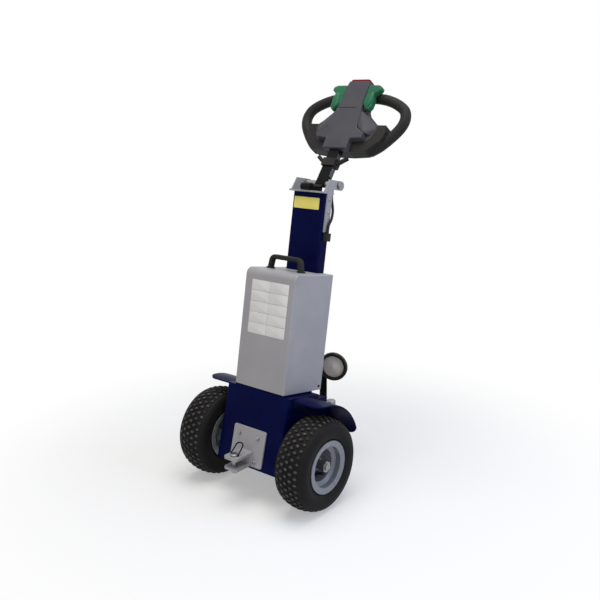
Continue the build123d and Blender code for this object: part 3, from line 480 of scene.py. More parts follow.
@dataclass(frozen=True)
class TyreFinish(Finish):
    """Tyre rubber: the block tops are painted pale, partly as rubbing wear and partly as a painted highlight
    for the glints on the blocks, and the walls keep their black.
    """

    axle: Point = ORIGIN
    wheel_x: float = 193.0 * MM
    tread_radius: float = 138.0 * MM
    crown_radius: float = 107.0 * MM
    tread_half_width: float = 41.0 * MM
    shoulder_start: float = 0.9
    # Depth, share and colour of the pale block tops: rubbing wear, and painted highlight for the glints on the
    # blocks.
    scuff_and_glint_depth: float = 1.0 * MM
    scuff_and_glint: float = 0.8
    scuff_and_glint_colour: Colour = (0.096, 0.087, 0.083)

    def base(self, graph: Surface) -> Socket:
        """Colour with the block tops painted pale, as rubbing wear and painted highlight.

        Args:
            graph: The material being made.

        Returns:
            The colour before dust.
        """
        offset = (graph.along("X", graph.place).size() - self.wheel_x).size()
        crown = offset * offset / (2.0 * self.crown_radius)
        height = graph.radius_about(self.axle, "X") + crown - self.tread_radius
        shoulder = offset.ramp(self.tread_half_width * self.shoulder_start, self.tread_half_width)
        # The block tops are painted pale: partly rubbing wear, partly a painted highlight for their glints.
        tops = height.ramp(-self.scuff_and_glint_depth, 0.0) * (1.0 - shoulder)
        scuffed_and_glinting = tops * SCUFF_AND_GLINT_PATCHES.mask(graph)
        return graph.mix(scuffed_and_glinting * self.scuff_and_glint, super().base(graph), self.scuff_and_glint_colour)


@dataclass(frozen=True)
class HornFinish(Finish):
    """Horn body: a pale pressed face in front, and a black back.

    The front's bend is how far a face turns to the front before it is pale.
    """

    front: Point = (0.0, -1.0, 0.0)
    front_bend: Pair = (0.1, 0.5)
    back_colour: Colour = (0.012, 0.012, 0.012)

    def base(self, graph: Surface) -> Socket:
        """Colour with the dark back."""
        ahead = graph.dot(graph.normal, self.front).ramp(*self.front_bend)
        return graph.mix(ahead, self.back_colour, super().base(graph))


class Palette:
    """Every finish on the machine, and the materials made from them.

    A finish has the name of its material slot in the record, where it has one.
    """

    def __init__(self, axle: Point) -> None:
        """Name the finishes.

        Args:
            axle: Centre of the wheel axle.
        """
        self._made: dict[str, bpy.types.Material] = {}
        self.finishes: dict[str, Finish] = {
            "blue_paint": Finish(
                "blue_gloss_paint", (0.0012, 0.0026, 0.0320), (0.0018, 0.0038, 0.0420), 0.30,
                Grain.ORANGE_PEEL, 0.0022, 0.00003, roughness_spread=0.16, specular=0.025,
                edge_wear=0.22, wear_colour=(0.030, 0.040, 0.120),
                dust=0.02, dust_colour=(0.08, 0.08, 0.10), scratches=0.04,
            ),
            "grey_paint": Finish(
                "grey_satin_paint", (0.285, 0.280, 0.296), (0.310, 0.304, 0.320), 0.45,
                Grain.ORANGE_PEEL, 0.0016, 0.00004, specular=0.25,
                edge_wear=0.20, wear_colour=(0.46, 0.46, 0.48),
                dust=0.10, dust_colour=(0.22, 0.21, 0.20), scratches=0.04,
            ),
            "black_steel": Finish(
                "black_satin_steel", (0.0050, 0.0050, 0.0056), (0.0075, 0.0075, 0.0082), 0.42,
                Grain.ORANGE_PEEL, 0.0014, 0.00003, specular=0.06,
                edge_wear=0.30, wear_colour=(0.045, 0.045, 0.050),
                dust=0.03, dust_colour=(0.06, 0.056, 0.052), scratches=0.06,
            ),
            "black_plastic": Finish(
                "black_moulded_plastic", (0.0135, 0.0128, 0.0124), (0.0190, 0.0182, 0.0176), 0.55,
                Grain.MOULDED, 0.0011, 0.00006, specular=0.12,
                edge_wear=0.12, wear_colour=(0.05, 0.05, 0.05), dust=0.08, dust_colour=(0.10, 0.095, 0.09),
            ),
            "grey_plastic": Finish(
                "grey_moulded_plastic", (0.048, 0.048, 0.058), (0.057, 0.057, 0.067), 0.56,
                Grain.MOULDED, 0.0010, 0.00006, specular=0.14,
                edge_wear=0.15, wear_colour=(0.16, 0.16, 0.17), dust=0.05, dust_colour=(0.14, 0.135, 0.13),
            ),
            "green_plastic": Finish(
                "green_moulded_plastic", (0.012, 0.098, 0.046), (0.018, 0.120, 0.056), 0.36,
                Grain.MOULDED, 0.0012, 0.00003, specular=0.12,
                edge_wear=0.12, wear_colour=(0.06, 0.24, 0.14), dust=0.03,
            ),
            "red_plastic": Finish(
                "red_moulded_plastic", (0.125, 0.0045, 0.0090), (0.150, 0.0065, 0.0120), 0.36,
                Grain.MOULDED, 0.0012, 0.00003, specular=0.06,
                edge_wear=0.08, wear_colour=(0.22, 0.02, 0.03), dust=0.02,
            ),
            "orange_plastic": Finish(
                "orange_moulded_plastic", (0.340, 0.125, 0.040), (0.40, 0.15, 0.05), 0.38,
                Grain.MOULDED, 0.0012, 0.00003, specular=0.25,
                edge_wear=0.1, wear_colour=(0.5, 0.25, 0.12), dust=0.08,
            ),
            "tyre_rubber": TyreFinish(
                "tyre_rubber", (0.0058, 0.0054, 0.0058), (0.0086, 0.0080, 0.0082), 0.60,
                Grain.RUBBER, 0.0035, 0.00012, edge_radius=0.0008, specular=0.10,
                dust=0.05, dust_colour=(0.08, 0.075, 0.07), axle=axle,
            ),
            "rim_paint": Finish(
                "rim_silver_paint", (0.160, 0.170, 0.200), (0.195, 0.205, 0.235), 0.26,
                Grain.ORANGE_PEEL, 0.0014, 0.00003, metallic=0.15, specular=0.40,
                edge_wear=0.35, wear_colour=(0.34, 0.35, 0.38), dust=0.12, dust_colour=(0.10, 0.095, 0.09),
            ),
            "bright_steel": Finish(
                "zinc_plated_steel", (0.22, 0.22, 0.23), (0.31, 0.31, 0.31), 0.34,
                Grain.BRUSHED, 0.0008, 0.00002, metallic=1.0,
                edge_wear=0.2, wear_colour=(0.32, 0.30, 0.28), dust=0.2, dust_colour=(0.2, 0.18, 0.16),
            ),
            # Pale bare metal of the arm's ridges: partly real metal, partly a painted highlight for the bright
            # lines along the arm's grooves.
            "ridge_aluminium": Finish(
                "ridge_aluminium_as_highlight_lines", (0.20, 0.20, 0.21), (0.26, 0.26, 0.27), 0.32,
                Grain.BRUSHED, 0.0006, 0.000005, metallic=1.0, edge_radius=0.0002, dust=0.05,
                dust_colour=(0.10, 0.10, 0.10), scratches=0.05, wear_colour=(0.12, 0.12, 0.12),
            ),
            "battery_case": Finish(
                "battery_case_plastic", (0.030, 0.030, 0.032), (0.036, 0.036, 0.038), 0.5,
                Grain.MOULDED, 0.0012, 0.00005, specular=0.2, dust=0.25,
            ),
            "cast_case": Finish(
                "cast_aluminium", (0.20, 0.20, 0.21), (0.25, 0.25, 0.26), 0.5,
                Grain.CAST, 0.0018, 0.00015, metallic=0.8, dust=0.3, dust_colour=(0.12, 0.11, 0.1),
            ),
            "motor_case": Finish(
                "motor_black_paint", (0.018, 0.018, 0.020), (0.026, 0.026, 0.028), 0.45,
                Grain.CAST, 0.002, 0.0001, specular=0.2, edge_wear=0.3, dust=0.3,
            ),
            "castor_rubber": Finish(
                "castor_rubber", (0.026, 0.025, 0.025), (0.036, 0.035, 0.034), 0.62,
                Grain.RUBBER, 0.003, 0.0001, specular=0.2, dust=0.25, dust_colour=(0.12, 0.11, 0.10),
            ),
            "castor_hub": Finish(
                "castor_hub_plastic", (0.22, 0.22, 0.23), (0.26, 0.26, 0.27), 0.48,
                Grain.MOULDED, 0.0012, 0.00005, specular=0.25, dust=0.3, dust_colour=(0.14, 0.13, 0.12),
            ),
            "horn_metal": HornFinish(
                "horn_pressed_face", (0.64, 0.60, 0.54), (0.70, 0.66, 0.60), 0.45,
                Grain.ORANGE_PEEL, 0.0018, 0.00004, specular=0.2, edge_wear=0.2, dust=0.12,
            ),
            "badge_yellow": Finish(
                "badge_yellow_enamel", (0.76, 0.66, 0.15), (0.80, 0.70, 0.18), 0.34,
                Grain.ORANGE_PEEL, 0.002, 0.00002, specular=0.25,
                edge_wear=0.5, wear_colour=(0.20, 0.18, 0.1), dust=0.08,
            ),
            "label_film": Finish(
                "label_white_film", (0.60, 0.595, 0.59), (0.65, 0.645, 0.64), 0.4,
                Grain.ORANGE_PEEL, 0.0012, 0.00002, edge_radius=0.0002, specular=0.25,
                dust=0.15, scratches=0.05,
            ),
        }

    def __getitem__(self, slot: str) -> bpy.types.Material:
        """Material of a finish, made at its first use.

        Args:
            slot: Name of the finish.

        Returns:
            Its material.
        """
        if slot not in self._made:
            self._made[slot] = self.finishes[slot].material()
        return self._made[slot]


@dataclass(frozen=True)
class Stance:
    """Where the leaning machine stands, and the frames of its sloping faces.

    The machine's own frame has its origin on the axle, y to the back and z up, before the lean.
    """

    axle: Vector
    lean: float = math.radians(10.0)
    tow_slope: float = math.atan2(17.0, 204.0)
    tow_foot: float = -74.75 * MM
    head_start: Point = (0.0, 178.9 * MM, 913.1 * MM)
    head_tilt: float = math.radians(24.3)

    @property
    def machine(self) -> Matrix:
        """Matrix from the machine's own frame to the row frame."""
        return Matrix.Translation(self.axle) @ Matrix.Rotation(-self.lean, 4, "X")

    @staticmethod
    def slope(tilt: float) -> tuple[Point, Point]:
        """Directions out of a front that leans back by an angle, and up along it."""
        return (0.0, -math.cos(tilt), math.sin(tilt)), (0.0, math.sin(tilt), math.cos(tilt))

    def facing(self, origin: Point, outward: Point, up: Point) -> Matrix:
        """Frame on a face of the machine.

        Args:
            origin: A point on the face, in the machine's frame.
            outward: Direction out of the face, which becomes local z.
            up: Direction that becomes local y.

        Returns:
            The matrix from that frame to the row frame.
        """
        z_way = Vector(outward).normalized()
        y_way = Vector(up).normalized()
        x_way = y_way.cross(z_way)
        turn = Matrix((x_way, y_way, z_way)).transposed().to_4x4()
        return self.machine @ Matrix.Translation(origin) @ turn

    def front_at(self, depth: float) -> Matrix:
        """Frame on an upright front face at that depth: local x right, local y up."""
        return self.facing((0.0, depth, 0.0), (0.0, -1.0, 0.0), (0.0, 0.0, 1.0))

    def side_at(self, x: float) -> Matrix:
        """Frame on a side face at x: local y up, local z outward."""
        return self.facing((x, 0.0, 0.0), (math.copysign(1.0, x), 0.0, 0.0), (0.0, 0.0, 1.0))

    def tow_face(self, out: float) -> Matrix:
        """Frame on the sloping chassis front: local y up the slope, local z out of it.

        Args:
            out: How far the frame stands out from the front.

        Returns:
            The matrix from that frame to the row frame.
        """
        outward, up = self.slope(self.tow_slope)
        start = (0.0, self.tow_foot + out * outward[1], out * outward[2])
        return self.facing(start, outward, up)

    def head_face(self, depth: float) -> Matrix:
        """Frame on the tiller head: local y along the head, local z forward.

        Args:
            depth: How far the frame lies behind the head's underside.

        Returns:
            The matrix from that frame to the row frame.
        """
        outward, along = self.slope(self.head_tilt)
        start = Vector(self.head_start) - depth * Vector(outward)
        return self.facing(tuple(start), outward, along)


def at(x: float, y: float, z: float = 0.0) -> Matrix:
    """Shift by x, y and z."""
    return Matrix.Translation((x, y, z))


def looking(way: Vector) -> Matrix:
    """Turn that points a lamp or a camera along a direction."""
    return way.to_track_quat("-Z", "Y").to_matrix().to_4x4()


def linked(name: str, data: bpy.types.ID) -> bpy.types.Object:
    """New object of that name and data, in the scene.

    Args:
        name: Name of the object.
        data: Its mesh, light or camera.

    Returns:
        The object.
    """
    made = bpy.data.objects.new(name, data)
    bpy.context.scene.collection.objects.link(made)
    return made


def meshed(name: str, form: BMesh) -> bpy.types.Mesh:
    """New mesh of a shape.

    Args:
        name: Name of the mesh.
        form: The shape. It is used up.

    Returns:
        The mesh.
    """
    mesh = bpy.data.meshes.new(name)
    form.to_mesh(mesh)
    form.free()
    return mesh


def arc(first: Pair, through: Pair, last: Pair, steps: int) -> list[Pair]:
    """Points on the arc through three points.

    Args:
        first: Start of the arc.
        through: A point that it passes.
        last: End of the arc.
        steps: Number of steps from start to end.

    Returns:
        The points, both ends among them.
    """
    (ax, ay), (bx, by), (cx, cy) = first, through, last
    twice = 2.0 * (ax * (by - cy) + bx * (cy - ay) + cx * (ay - by))
    a_sq, b_sq, c_sq = ax * ax + ay * ay, bx * bx + by * by, cx * cx + cy * cy
    ux = (a_sq * (by - cy) + b_sq * (cy - ay) + c_sq * (ay - by)) / twice
    uy = (a_sq * (cx - bx) + b_sq * (ax - cx) + c_sq * (bx - ax)) / twice
    start, middle, end = (math.atan2(y - uy, x - ux) for x, y in (first, through, last))
    sweep = (end - start) % FULL_TURN
    if (middle - start) % FULL_TURN > sweep:
        sweep -= FULL_TURN
    radius = math.hypot(ax - ux, ay - uy)
    turns = [start + sweep * step / steps for step in range(steps + 1)]
    return [(ux + radius * math.cos(turn), uy + radius * math.sin(turn)) for turn in turns]


def spun(profile: Sequence[Pair], steps: int, closed: bool = False) -> BMesh:
    """Shape turned about local z.

    Args:
        profile: Radius and height of each point of the outline.
        steps: Number of steps round.
        closed: Whether the last point joins the first.

    Returns:
        The turned shape, with its faces outwards.
    """
    form = bmesh.new()
    verts = [form.verts.new((radius, 0.0, height)) for radius, height in profile]
    pairs = list(zip(verts, verts[1:]))
    if closed:
        pairs.append((verts[-1], verts[0]))
    edges = [form.edges.new(pair) for pair in pairs]
    bmesh.ops.spin(
        form, geom=verts + edges, cent=ORIGIN, axis=(0, 0, 1), angle=FULL_TURN, steps=steps,
        use_merge=True,
    )
    bmesh.ops.remove_doubles(form, verts=form.verts, dist=MERGE_GAP)
    bmesh.ops.recalc_face_normals(form, faces=form.faces)
    return form


def softened(form: BMesh, edges: Iterable, width: float, segments: int = 2) -> None:
    """Bevel some edges of a shape.

    Args:
        form: The shape.
        edges: Its edges to bevel.
        width: Width of the bevel.
        segments: Number of steps across it.
    """
    bmesh.ops.bevel(
        form, geom=list(edges), offset=width, offset_type="OFFSET", segments=segments, profile=0.5,
        affect="EDGES", material=-1, clamp_overlap=True,
    )


def upright_edges(form: BMesh, rise: float) -> list[bmesh.types.BMEdge]:
    """Edges of a shape that rise by more than a height."""
    return [e for e in form.edges if abs(e.verts[0].co.z - e.verts[1].co.z) > rise]


def edges_above(form: BMesh, height: float) -> list[bmesh.types.BMEdge]:
    """Edges of a shape that lie above a height."""
    return [e for e in form.edges if min(v.co.z for v in e.verts) > height]


@dataclass(frozen=True)
class HexBolt:
    """Hexagon bolt head on a washer, standing on local z = 0.

    The crown is the width of the head's bevelled top edge, as a share of its height.
    """

    flats: float
    height: float
    washer: float
    washer_height: float = 1.6 * MM
    washer_edge: float = 0.4 * MM
    washer_steps: int = 24
    crown: float = 0.22

    def form(self) -> BMesh:
        """Build the bolt head.

        Returns:
            The bolt head.
        """
        edge = self.washer / 2
        outline = [(0.0, self.washer_height), (edge, self.washer_height), (edge, 0.0), (0.0, 0.0)]
        made = spun(outline, self.washer_steps)
        sharp = [e for e in made.edges if e.calc_face_angle(0.0) > SHARP_ANGLE]
        softened(made, sharp, self.washer_edge)
        corner = self.flats / math.sqrt(3)
        bmesh.ops.create_cone(
            made, cap_ends=True, segments=6, radius1=corner, radius2=corner, depth=self.height,
            matrix=at(0.0, 0.0, self.washer_height + self.height / 2),
        )
        top = edges_above(made, self.washer_height + self.height * NEAR_TOP)
        softened(made, top, self.height * self.crown)
        return made


@dataclass(frozen=True)
class PanScrew:
    """Domed screw head with a socket, standing on local z = 0.

    The dome's bend and the socket are given as shares of the radius and the height.
    """

    radius: float
    height: float
    bend: Pair = (0.85, 0.72)
    bend_steps: int = 5
    socket: float = 0.42
    socket_taper: float = 0.95
    socket_floor: float = 0.4
    turn_steps: int = 20

    def form(self) -> BMesh:
        """Build the screw head.

        Returns:
            The screw head.
        """
        lip = self.radius * self.socket
        floor = self.height * self.socket_floor
        bend = (self.radius * self.bend[0], self.height * self.bend[1])
        dome = arc((self.radius, 0.0), bend, (lip, self.height), self.bend_steps)
        return spun([*dome, (lip * self.socket_taper, floor), (0.0, floor)], self.turn_steps)


@dataclass(frozen=True)
class Plate:
    """Flat plate with rounded corners, standing on local z = 0 and centred on x and y.

    Its front edge is bevelled by a share of the thickness.
    """

    width: float
    height: float
    thickness: float
    corner: float
    corner_steps: int = 4
    edge: float = 0.3

    def form(self) -> BMesh:
        """Build the plate.

        Returns:
            The plate.
        """
        made = bmesh.new()
        size = Matrix.Diagonal((self.width, self.height, self.thickness, 1.0))
        bmesh.ops.create_cube(made, size=1.0, matrix=at(0.0, 0.0, self.thickness / 2) @ size)
        softened(made, upright_edges(made, self.thickness / 2), self.corner, self.corner_steps)
        softened(made, edges_above(made, self.thickness * NEAR_TOP), self.thickness * self.edge)
        return made


def stamped(form: BMesh, places: Sequence[Matrix], joined: BMesh | None = None) -> BMesh:
    """Copies of a shape, joined in one mesh.

    Args:
        form: The shape. It is used up.
        places: Where its copies stand.
        joined: Mesh that they are added to, where they don't start one.

    Returns:
        The joined copies.
    """
    if joined is None:
        joined = bmesh.new()
    pattern = meshed("pattern", form)
    for place in places:
        first = len(joined.verts)
        joined.from_mesh(pattern)
        joined.verts.ensure_lookup_table()
        bmesh.ops.transform(joined, matrix=place, verts=joined.verts[first:])
    bpy.data.meshes.remove(pattern)
    return joined


class Workshop:
    """Turns finished shapes into pieces that ride on the machine's bodies."""

    def __init__(self, palette: Palette) -> None:
        """Keep the palette."""
        self.palette = palette
        self.slots = {entry["slot"] for entry in frame["record"]["materials"]}

    def piece(self, name: str, form: BMesh, finish: str, body: Body) -> bpy.types.Object:
        """Make a piece from a shape.

        Args:
            name: Name of the piece.
            form: Its shape, in the row frame. It is used up.
            finish: Name of its finish in the palette.
            body: Body that it rides on.

        Returns:
            The new object.
        """
        mesh = meshed(name, form)
        mesh.shade_smooth()
        mesh.set_sharp_from_angle(angle=SMOOTH_ANGLE)
        mesh.materials.append(self.palette[finish])
        made = linked(name, mesh)
        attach(made, body.value)
        log.info("piece %s: %d faces on %s", name, len(mesh.polygons), body.value)
        return made

    def dress_nodes(self) -> None:
        """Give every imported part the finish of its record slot."""
        for entry in frame["record"]["subparts"]:
            node = frame["nodes"][entry["node"]]
            node.data.materials.clear()
            node.data.materials.append(self.palette[entry["material_slot"]])
        log.info("dressed %d packed parts", len(frame["nodes"]))


@dataclass
class RoadWheel:
    """A road wheel's tyre with its block tread, and its valve and bolts.

    The drop of the tread's edge and a block's depth are multiples of the groove's depth, and the wall's ridges
    are steps along its arc. The valve's outline is the radius and the height of its points, in millimetres.
    """

    side: Side
    tread_radius: float = 138.0 * MM
    shoulder_radius: float = 129.0 * MM
    tread_half_width: float = 43.0 * MM
    half_width: float = 52.0 * MM
    bead_half_width: float = 42.0 * MM
    bead_radius: float = 78.0 * MM
    bore_radius: float = 63.8 * MM
    turn_steps: int = 96
    edge_reach: float = 1.5 * MM
    edge_drop: float = 0.5
    crown_steps: int = 12
    wall_steps: int = 16
    wall_ridge: float = 0.9 * MM
    wall_ridges: tuple[int, int] = (3, 13)
    groove_depth: float = 4.5 * MM
    block_rows: int = 5
    row_spacing: float = 16.0 * MM
    blocks_round: int = 42
    block_share_across: float = 0.78
    block_share_along: float = 0.66
    block_depth: float = 1.4
    block_taper: float = 0.86
    block_corner: float = 4.6 * MM
    block_round: float = 3.0 * MM
    block_steps: int = 3
    valve_turn: float = math.radians(22.0)
    valve_tilt: float = math.radians(-12.0)
    valve_radius: float = 42.0 * MM
    valve_seat: float = -9.0 * MM
    valve_outline: tuple[Pair, ...] = (
        (0.0, 0.0), (7.0, 0.0), (6.5, 3.0), (4.6, 6.0), (4.2, 18.6),
        (5.0, 18.6), (5.0, 28.2), (3.6, 30.0), (0.0, 30.0),
    )
    valve_steps: int = 20
    bolt: HexBolt = HexBolt(10.0 * MM, 5.0 * MM, 15.0 * MM)
    bolt_circle: float = 27.0 * MM
    bolt_count: int = 4
    disc_face: float = -6.5 * MM

    @property
    def body(self) -> Body:
        """Body of this wheel."""
        return Body.WHEEL_LEFT if self.side is Side.LEFT else Body.WHEEL_RIGHT

    def centre(self) -> Vector:
        """Centre of the wheel, from its packed tyre."""
        low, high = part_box(f"tyre_{self.side.word}")
        return (low + high) / 2

    def axis_frame(self) -> Matrix:
        """Frame of the wheel: local z along the axle, out from the machine."""
        turn = Matrix.Rotation(math.pi / 2 * self.side.value, 4, "Y")
        return Matrix.Translation(self.centre()) @ turn

    def carcass(self) -> BMesh:
        """Tyre without its blocks, turned about local z.

        Returns:
            The carcass, with a ridge round each wall.
        """
        edge_foot = self.shoulder_radius - self.groove_depth * self.edge_drop
        edge = (self.tread_half_width + self.edge_reach, edge_foot)
        belly = (self.half_width, (self.shoulder_radius + self.bead_radius) / 2)
        bead = (self.bead_half_width, self.bead_radius)
        middle = (0.0, self.tread_radius - self.groove_depth)
        crown = arc((-edge[0], edge[1]), middle, edge, self.crown_steps)
        wall = arc(edge, belly, bead, self.wall_steps)
        for ridge in self.wall_ridges:
            along, radius = wall[ridge]
            wall[ridge] = (along + self.wall_ridge, radius)
        far_wall = [(-along, radius) for along, radius in reversed(wall)]
        bore = [(self.bead_half_width, self.bore_radius), (-self.bead_half_width, self.bore_radius)]
        outline = [*crown[:-1], *wall, *bore, *far_wall[:-1]]
        return spun([(radius, along) for along, radius in outline], self.turn_steps, closed=True)

    def block(self) -> BMesh:
        """One diamond block of the tread, its top at local z = 0 and its long diagonal along y.

        Returns:
            The block.
        """
        form = bmesh.new()
        bmesh.ops.create_circle(form, cap_ends=True, segments=4, radius=1.0)
        pitch = FULL_TURN * self.tread_radius / self.blocks_round
        across = pitch / 2 * self.block_share_across
        along = self.row_spacing * self.block_share_along
        bmesh.ops.scale(form, vec=(across, along, 1.0), verts=form.verts)
        raised = bmesh.ops.extrude_face_region(form, geom=form.faces[:])
        top = [v for v in raised["geom"] if isinstance(v, bmesh.types.BMVert)]
        depth = self.groove_depth * self.block_depth
        bmesh.ops.translate(form, vec=(0, 0, depth), verts=top)
        bmesh.ops.scale(form, vec=(self.block_taper, self.block_taper, 1.0), verts=top)
        bmesh.ops.recalc_face_normals(form, faces=form.faces)
        softened(form, upright_edges(form, depth / 2), self.block_corner, self.block_steps)
        softened(form, edges_above(form, depth * NEAR_TOP), self.block_round, self.block_steps)
        bmesh.ops.translate(form, vec=(0, 0, -depth), verts=form.verts)
        return form

    def block_places(self) -> list[Matrix]:
        """Places of the tread blocks in the wheel's frame, in staggered rows.

        Returns:
            One matrix for each block.
        """
        crown_drop = self.tread_radius - self.shoulder_radius
        crown_radius = (self.tread_half_width**2 + crown_drop**2) / (2 * crown_drop)
        upright = Matrix(((0, 0, 1, 0), (1, 0, 0, 0), (0, 1, 0, 0), (0, 0, 0, 1)))
        places = []
        for row in range(self.block_rows):
            offset = (row - (self.block_rows - 1) / 2) * self.row_spacing
            lean = math.asin(offset / crown_radius)
            radius = self.tread_radius - crown_radius * (1 - math.cos(lean))
            stagger = (row % 2) / 2
            for step in range(self.blocks_round):
                turn = FULL_TURN * (step + stagger) / self.blocks_round
                outward = Matrix.Rotation(turn, 4, "Z") @ at(radius, 0.0, offset)
                places.append(outward @ Matrix.Rotation(-lean, 4, "Y") @ upright)
        return places

    def valve(self) -> BMesh:
        """Valve stem with its cap, standing on local z = 0."""
        return spun([(radius * MM, height * MM) for radius, height in self.valve_outline], self.valve_steps)

    def build(self, shop: Workshop) -> None:
        """Make the wheel's pieces.

        Args:
            shop: Where pieces are made.
        """
        word = self.side.word
        place = self.axis_frame()
        blocks = [place @ spot for spot in self.block_places()]
        rubber = stamped(self.block(), blocks, stamped(self.carcass(), [place]))
        tyre = shop.piece(f"treaded_tyre_{word}", rubber, "tyre_rubber", self.body)
        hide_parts(f"tyre_{word}")
        seat = at(self.valve_radius, 0.0, self.valve_seat) @ Matrix.Rotation(self.valve_tilt, 4, "Y")
        stem = place @ Matrix.Rotation(self.valve_turn, 4, "Z") @ seat
        shop.piece(f"valve_{word}", stamped(self.valve(), [stem]), "black_plastic", self.body)
        hole = at(self.bolt_circle, 0.0, self.disc_face)
        turns = [FULL_TURN * step / self.bolt_count for step in range(self.bolt_count)]
        spots = [place @ Matrix.Rotation(turn, 4, "Z") @ hole for turn in turns]
        shop.piece(f"wheel_bolts_{word}", stamped(self.bolt.form(), spots), "bright_steel", self.body)


@dataclass
class TowGear:
    """Bolts of the tow plate, and the welds of its jaw."""

    stance: Stance
    plate_thickness: float = 6.0 * MM
    bolt: HexBolt = HexBolt(9.0 * MM, 5.0 * MM, 14.0 * MM)
    bolt_x: float = 36.0 * MM
    bolt_low: float = -28.0 * MM
    bolt_high: float = 43.0 * MM
    jaw_half_width: float = 25.0 * MM
    jaw_low: float = 113.0 * MM
    jaw_high: float = 153.0 * MM
    bead_radius: float = 2.4 * MM
    bead_step: float = 2.6 * MM

    def welds(self) -> BMesh:
        """Rows of weld ripples down both sides of the jaw, where it meets the plate.

        Returns:
            The joined ripples.
        """
        ripple = bmesh.new()
        bmesh.ops.create_icosphere(ripple, subdivisions=2, radius=self.bead_radius)
        face = self.stance.tow_face(self.plate_thickness)
        out = (face.to_3x3() @ Vector((0.0, 0.0, 1.0))).normalized()
        foot = face.translation
        count = round((self.jaw_high - self.jaw_low) / self.bead_step)
        spots = []
        for side in Side:
            for step in range(count + 1):
                height = self.jaw_low + (self.jaw_high - self.jaw_low) * step / count
                depth = foot.y - (height - foot.z) * out.z / out.y
                spots.append(at(side.value * self.jaw_half_width, depth, height))
        return stamped(ripple, spots)

    def build(self, shop: Workshop) -> None:
        """Make the tow gear's pieces.

        Args:
            shop: Where pieces are made.
        """
        face = self.stance.tow_face(self.plate_thickness)
        corners = [(x, y) for x in (-self.bolt_x, self.bolt_x) for y in (self.bolt_low, self.bolt_high)]
        bolts = stamped(self.bolt.form(), [face @ at(x, y) for x, y in corners])
        shop.piece("tow_plate_bolts", bolts, "bright_steel", Body.CHASSIS)
        shop.piece("jaw_welds", self.welds(), "grey_paint", Body.CHASSIS)


@dataclass
class CoverTrim:
    """Blank label sheet and screws of the battery cover."""

    stance: Stance
    front: float = -56.0 * MM
    half_width: float = 95.0 * MM
    bottom: float = 181.0 * MM
    back: float = 121.0 * MM
    label_left: float = -66.0 * MM
    label_right: float = 75.0 * MM
    label_low: float = 340.0 * MM
    label_high: float = 499.0 * MM
    label_columns: int = 2
    label_rows: int = 5
    label_joint: float = 0.8 * MM
    label_thickness: float = 0.4 * MM
    label_corner: float = 1.5 * MM
    screw: PanScrew = PanScrew(4.0 * MM, 2.4 * MM)
    screw_inset: float = 12.0 * MM

    def label(self) -> BMesh:
        """Blank label fields, set edge to edge on the cover front.

        Returns:
            The joined fields.
        """
        face = self.stance.front_at(self.front)
        wide = (self.label_right - self.label_left) / self.label_columns
        tall = (self.label_high - self.label_low) / self.label_rows
        sides = (wide - self.label_joint, tall - self.label_joint)
        field = Plate(*sides, self.label_thickness, self.label_corner)
        spots = [
            face @ at(self.label_left + wide * (column + 0.5), self.label_low + tall * (row + 0.5))
            for column in range(self.label_columns)
            for row in range(self.label_rows)
        ]
        return stamped(field.form(), spots)

    def build(self, shop: Workshop) -> None:
        """Make the cover's pieces.

        Args:
            shop: Where pieces are made.
        """
        shop.piece("cover_label_sheet", self.label(), "label_film", Body.CHASSIS)
        spots = []
        for side in Side:
            face = self.stance.side_at(side.value * self.half_width)
            along = side.value * (self.back - self.screw_inset)
            spots.append(face @ at(along, self.bottom + self.screw_inset))
        shop.piece("cover_screws", stamped(self.screw.form(), spots), "black_steel", Body.CHASSIS)


@dataclass
class ColumnTrim:
    """Blank badge plate on the column and the bolts of the tiller bracket."""

    stance: Stance
    front: float = 83.0 * MM
    badge_left: float = -53.0 * MM
    badge_right: float = 43.0 * MM
    badge_low: float = 719.0 * MM
    badge_high: float = 754.0 * MM
    badge_thickness: float = 1.0 * MM
    badge_corner: float = 2.0 * MM
    bolt: PanScrew = PanScrew(5.0 * MM, 3.2 * MM)
    leg_face: float = 64.0 * MM
    leg_middle: float = 104.0 * MM
    bolt_heights: Pair = (714.0 * MM, 752.0 * MM)

    def build(self, shop: Workshop) -> None:
        """Make the column's pieces.

        Args:
            shop: Where pieces are made.
        """
        face = self.stance.front_at(self.front)
        middle = face @ at((self.badge_left + self.badge_right) / 2, (self.badge_low + self.badge_high) / 2)
        sides = (self.badge_right - self.badge_left, self.badge_high - self.badge_low)
        badge = stamped(Plate(*sides, self.badge_thickness, self.badge_corner).form(), [middle])
        shop.piece("badge_plate", badge, "badge_yellow", Body.CHASSIS)
        spots = [
            self.stance.side_at(side.value * self.leg_face) @ at(side.value * self.leg_middle, height)
            for side in Side
            for height in self.bolt_heights
        ]
        shop.piece("bracket_bolts", stamped(self.bolt.form(), spots), "bright_steel", Body.CHASSIS)


